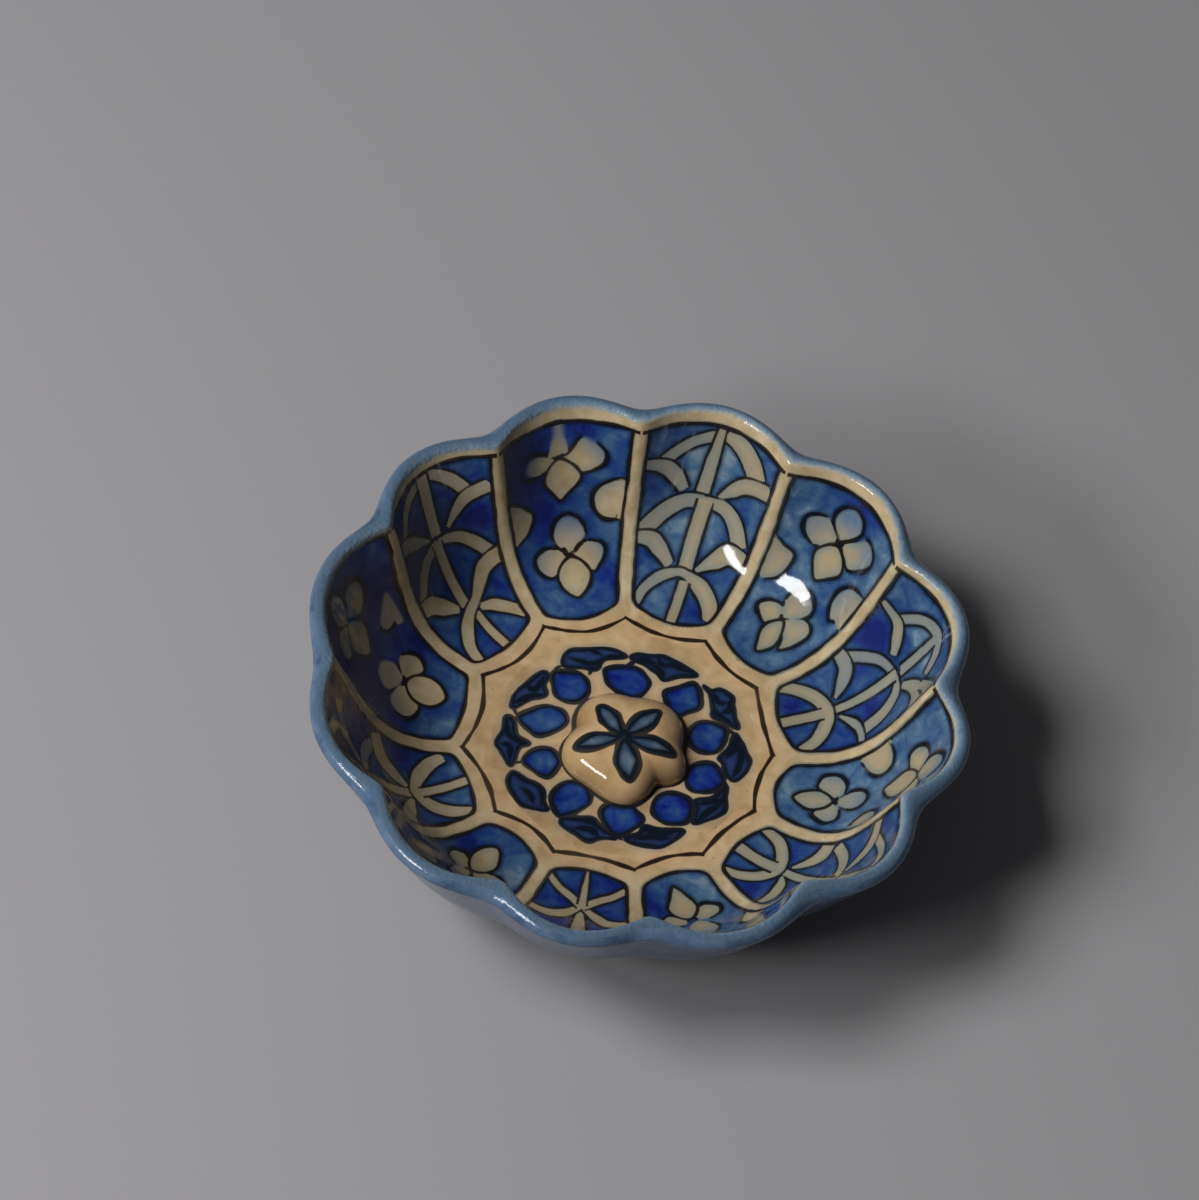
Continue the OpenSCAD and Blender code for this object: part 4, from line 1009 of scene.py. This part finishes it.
    # the glaze lies in slow waves, with pin pricks, and is grainy on the lip
    size, height, strength = look["waves"]
    bump = add("Bump", strength, height * mm, named={"Height": add("TexNoise", place, perMm(size), 2.0)})
    depth, strength = look["pricks"]
    pricks = add("MapRange", dots, *look["prickEdge"])
    bump = add("Bump", strength, depth * mm, named={"Height": pricks, "Normal": bump})
    size, height = look["grain"]
    grain = add("TexNoise", place, perMm(size), 2.0)
    grainy = add("Math MULTIPLY", isLip, look["lipGrain"])
    bump = add("Bump", grainy, height * mm, named={"Height": grain, "Normal": bump})
    rough = add("MapRange", broad, 0.3, 0.7, look["roughness"] * 0.7, look["roughness"] * 1.4)
    heavy = add("MapRange", deep, 0.6, 0.9, 0, look["cobaltRoughness"])
    rough = add("Math MULTIPLY_ADD", heavy, isBlue, rough)
    surface = {"Roughness": rough, "Normal": bump, "IOR": look["ior"]}
    add("OutputMaterial", add("BsdfPrincipled", colour, named=surface))
    return material


outerLook = {
    "blues": ((0.28, "#34485f"), (0.5, "#455d7b"), (0.72, "#5c7592")),
    # darker towards the foot: partly glaze pooled thick, partly painted shade on the lower wall
    "pooled": "#22304a",
    "pooledAndShadedMost": 0.75,
    "poolAndShadeHeights": (10.0, 28.0),
    "lip": "#566b7f",
    "lipMost": 0.6,
    "lipHeights": (46.5, 49.5),
    "drift": 12.0,
    "roughness": 0.14,
    "ior": 1.5,
    "cloud": 9.0,
    "fine": 1.4,
    "mottle": 0.35,
    "waves": (6.0, 0.4, 0.4),  # size, height and strength
    "grain": (0.9, 0.3, 0.25),
}


def outerBlueGlaze():
    # one coat of blue alkaline glaze over the clay: mottled, darker above the foot, partly from glaze pooled thick
    # and partly painted shade, and worn pale on the lip
    look = outerLook
    material, add = newMaterial("mottled_blue_glaze")
    place = add("TexCoord", out="Object")
    cloud = add("TexNoise", place, perMm(look["cloud"]), 5.0, named={"Distortion": 0.8})
    fine = add("TexNoise", place, perMm(look["fine"]), 3.0)
    mixed = add("Math ADD", cloud, add("Math MULTIPLY_ADD", fine, look["mottle"], -look["mottle"] / 2))
    colour = add("ValToRGB", mixed, stops=look["blues"])
    height = add("Math MULTIPLY_ADD", cloud, look["drift"] * mm, add("SeparateXYZ", place, out="Z"))
    # painted shade and pooled glaze: darker towards the foot
    pooled = add("MapRange SMOOTHSTEP", height, *(h * mm for h in look["poolAndShadeHeights"]), look["pooledAndShadedMost"], 0)
    colour = add("Mix RGBA", pooled, colour, look["pooled"])
    thin = add("MapRange SMOOTHSTEP", height, *(h * mm for h in look["lipHeights"]), 0, look["lipMost"])
    colour = add("Mix RGBA", thin, colour, look["lip"])
    size, height, strength = look["waves"]
    bump = add("Bump", strength, height * mm, named={"Height": add("TexNoise", place, perMm(size), 3.0)})
    size, height, strength = look["grain"]
    grain = add("TexNoise", place, perMm(size), 2.0)
    bump = add("Bump", strength, height * mm, named={"Height": grain, "Normal": bump})
    rough = add("MapRange", fine, 0.3, 0.7, look["roughness"] * 0.8, look["roughness"] * 1.6)
    surface = {"Roughness": rough, "Normal": bump, "IOR": look["ior"]}
    add("OutputMaterial", add("BsdfPrincipled", colour, named=surface))
    return material


clayLook = {
    "clay": ((0.3, "#b79c74"), (0.55, "#cdb68e"), (0.75, "#d9c7a4")),
    "cloud": 6.0,
    "grit": "#8a6f4f",
    "gritMost": 0.55,
    "grains": 1.2,
    "grainEdge": (0.08, 0.2),
    "sand": (0.8, 0.15, 0.6),  # size, height and strength
    "roughness": 0.85,
    "ior": 1.45,
}


def bareStonepaste():
    # fired stonepaste with no glaze: chalky and matte, with sandy grit
    look = clayLook
    material, add = newMaterial("bare_stonepaste")
    place = add("TexCoord", out="Object")
    colour = add("ValToRGB", add("TexNoise", place, perMm(look["cloud"]), 6.0), stops=look["clay"])
    grains = add("TexVoronoi", place, perMm(look["grains"]))
    gritty = add("MapRange", grains, *look["grainEdge"], look["gritMost"], 0)
    colour = add("Mix RGBA", gritty, colour, look["grit"])
    size, height, strength = look["sand"]
    bump = add("Bump", strength, height * mm, named={"Height": add("TexNoise", place, perMm(size), 4.0)})
    surface = {"Roughness": look["roughness"], "Normal": bump, "IOR": look["ior"]}
    add("OutputMaterial", add("BsdfPrincipled", colour, named=surface))
    return material


painted = paintedGlaze()
blueGlaze = outerBlueGlaze()
stonepaste = bareStonepaste()
print("materials made")

# The painted coat of the wall, in three rings so that each stays a light mesh
wallPiece = {"starts": 30.0, "rings": {"lower": 49.5, "middle": 69.0, "upper": None}, "step": 0.36, "underRows": 4,
             "columns": 1536}
ringStart = wallPiece["starts"]
for name, ringEnd in wallPiece["rings"].items():
    ringEnd = ringEnd or insideRun[-1]
    rows = round((ringEnd - ringStart) / wallPiece["step"]) + 1
    mesh, run, share, over = coatGrid({**wallPiece, "rows": rows}, ringStart, ringEnd)
    raisedPoints, angle = placeOnForm(True, glaze, run, share * lobeCount)
    clayPoints = placeOnForm(True, 0, run, share * lobeCount)[0]
    coat = newCoat(len(run))
    paintWall(coat, angle, run)
    finishPiece(mesh, "wall_glaze_" + name, np.where(over[:, None], raisedPoints, clayPoints), coat, "inner_glaze",
                painted)
    ringStart = ringEnd

floorPiece = {"rows": 52, "underRows": 4, "columns": 600}
mesh, run, share, over = coatGrid(floorPiece, 0, 1)
angle = share * 360
inner = bossPoint(angle, np.zeros(len(angle)), glaze + form["hairline"])[:, :2]
outer = np.stack([np.cos(np.radians(angle)), np.sin(np.radians(angle))], -1) * wallPiece["starts"]
plan = inner + (outer - inner) * run[:, None]
coat = newCoat(len(run))
paintFloor(coat, plan[:, 0], plan[:, 1])
finishPiece(mesh, "floor_glaze", np.column_stack([plan, floorTop + np.where(over, glaze, 0)]), coat, "inner_glaze",
            painted)

bossPiece = {"rows": 70, "underRows": 16, "columns": 400}
mesh, run, share, over = coatGrid(bossPiece, 0, 90)
domeOver, domeUnder = (bossPoint(share * 360, run, raised) for raised in (glaze, 0))
coat = newCoat(len(run))
paintBoss(coat, domeOver[:, 0], domeOver[:, 1])
finishPiece(mesh, "boss_glaze_coat", np.where(over[:, None], domeOver, domeUnder), coat, "boss_glaze",
            painted)

bossCore = {"rows": 40, "underRows": 3, "columns": 200}
mesh, run, share, over = coatGrid(bossCore, 0, 90)
dome = bossPoint(share * 360, run, 0)
base = np.column_stack([dome[:, :2], np.full(len(run), floorTop)])
finishPiece(mesh, "boss_clay", np.where(over[:, None], dome, base), {}, "centre_boss", stonepaste)

outerPiece = {"rows": 110, "underRows": 10, "columns": 600}
starts = floorRadius - form["footInset"] + form["hairline"]
mesh, run, share, over = coatGrid(outerPiece, starts, outsideRun[-1])
raisedPoints, clayPoints = (placeOnForm(False, raised, run, share * lobeCount)[0] for raised in (glaze, 0))
finishPiece(mesh, "outer_glaze_coat", np.where(over[:, None], raisedPoints, clayPoints), {}, "outer_glaze",
            blueGlaze)

bodyPiece = {"rows": 70, "columns": 288}
overRuns, underRuns = (np.linspace(0, ends[-1], bodyPiece["rows"]) for ends in (insideRun, outsideRun))
mesh, run, share, over = wrappedGrid(overRuns, underRuns, bodyPiece["columns"])
insidePoints, outsidePoints = (placeOnForm(inside, 0, run, share * lobeCount)[0] for inside in (True, False))
finishPiece(mesh, "clay_body", np.where(over[:, None], insidePoints, outsidePoints), {}, "bowl_body",
            stonepaste)

# Foot ring with its tread worn round
footPiece = {"columns": 240, "wear": 0.9, "rounding": 0.3}
wear = footPiece["wear"]
draw = form["footHeight"] * math.tan(math.radians(form["footDraft"]))
footOuter = floorRadius - form["footInset"]
footInner = footOuter - form["footWidth"]
tread = [(0, wear), (footPiece["rounding"] * wear, footPiece["rounding"] * wear), (wear, 0)]  # in from a side, and up
corners = [(footOuter, form["footHeight"])] + [(footOuter - draw - a, z) for a, z in tread]
corners += [(footInner + draw + a, z) for a, z in tread[::-1]] + [(footInner, form["footHeight"])]
mesh, run, share, over = wrappedGrid(np.arange(len(corners)), np.zeros(0), footPiece["columns"])
radius, height = np.array(corners)[run.astype(int)].T
angle = 2 * math.pi * share
finishPiece(mesh, "foot_ring_turned", np.column_stack([radius * np.cos(angle), radius * np.sin(angle), height]), {},
            "foot_ring", stonepaste)

# Floor, light and camera
stage = {"floor": "#9a989a", "size": 6.0, "fibre": 1.5, "tooth": 0.2, "roughness": 0.9, "world": "#8f8f92",
         "worldStrength": 0.2}
bm = bmesh.new()
bmesh.ops.create_grid(bm, x_segments=1, y_segments=1, size=stage["size"] / 2)
mesh = bpy.data.meshes.new("studio_floor")
bm.to_mesh(mesh)
bm.free()
floor = bpy.data.objects.new("studio_floor", mesh)
scene.collection.objects.link(floor)
material, add = newMaterial("grey_paper")  # plain matte studio paper that takes a soft shadow
fibre = add("TexNoise", add("TexCoord", out="Object"), perMm(stage["fibre"]), 3.0)
tooth = add("Bump", 0.05, stage["tooth"] * mm, named={"Height": fibre})
add("OutputMaterial", add("BsdfPrincipled", stage["floor"], named={"Roughness": stage["roughness"], "Normal": tooth}))
mesh.materials.append(material)

world = bpy.data.worlds.new("studio")
scene.world = world
world.use_nodes = True
world.node_tree.nodes["Background"].inputs["Color"].default_value = toLinear(stage["world"])
world.node_tree.nodes["Background"].inputs["Strength"].default_value = stage["worldStrength"]

lamps = {
    "side_window": {"turn": 214, "lift": 33, "away": 1.3, "wide": 0.52, "tall": 0.2, "watts": 7.2, "shine": True},
    "key_softbox": {"turn": 192, "lift": 53, "away": 1.3, "wide": 0.46, "tall": 0.46, "watts": 12.4, "shine": False},
}
aimAt = Vector((0, 0, 0.02))  # halfway up the bowl
for name, lamp in lamps.items():
    light = bpy.data.lights.new(name, "AREA")
    light.shape = "RECTANGLE"
    light.size, light.size_y = lamp["wide"], lamp["tall"]
    light.energy = lamp["watts"]
    turn, lift = math.radians(lamp["turn"]), math.radians(lamp["lift"])
    way = Vector((math.cos(turn) * math.cos(lift), math.sin(turn) * math.cos(lift), math.sin(lift)))
    holder = bpy.data.objects.new(name, light)
    holder.location = aimAt + way * lamp["away"]
    holder.rotation_euler = way.to_track_quat("Z", "Y").to_euler()
    holder.visible_glossy = lamp["shine"]  # only the window shows in the glaze
    scene.collection.objects.link(holder)

view = {"lift": 54.5, "roll": 8.0, "away": 1.0, "lens": 136.4, "sensor": 36.0, "right": -8.3, "up": 13.41,
        "clip": (0.01, 50)}
lift, roll = math.radians(view["lift"]), math.radians(view["roll"])
back = Vector((0, -math.cos(lift), math.sin(lift)))
right = Vector((1, 0, 0))
up = back.cross(right)
right, up = right * math.cos(roll) + up * math.sin(roll), up * math.cos(roll) - right * math.sin(roll)
camera = bpy.data.cameras.new("camera")
camera.lens, camera.sensor_width, camera.sensor_fit = view["lens"], view["sensor"], "HORIZONTAL"
camera.clip_start, camera.clip_end = view["clip"]
stand = bpy.data.objects.new("camera", camera)
middle = Vector((0, 0, form["height"] * mm)) + back * view["away"] + (right * view["right"] + up * view["up"]) * mm
stand.matrix_world = Matrix.Translation(middle) @ Matrix((right, up, back)).transposed().to_4x4()
scene.collection.objects.link(stand)
scene.camera = stand
print("stage, lamps and camera set")
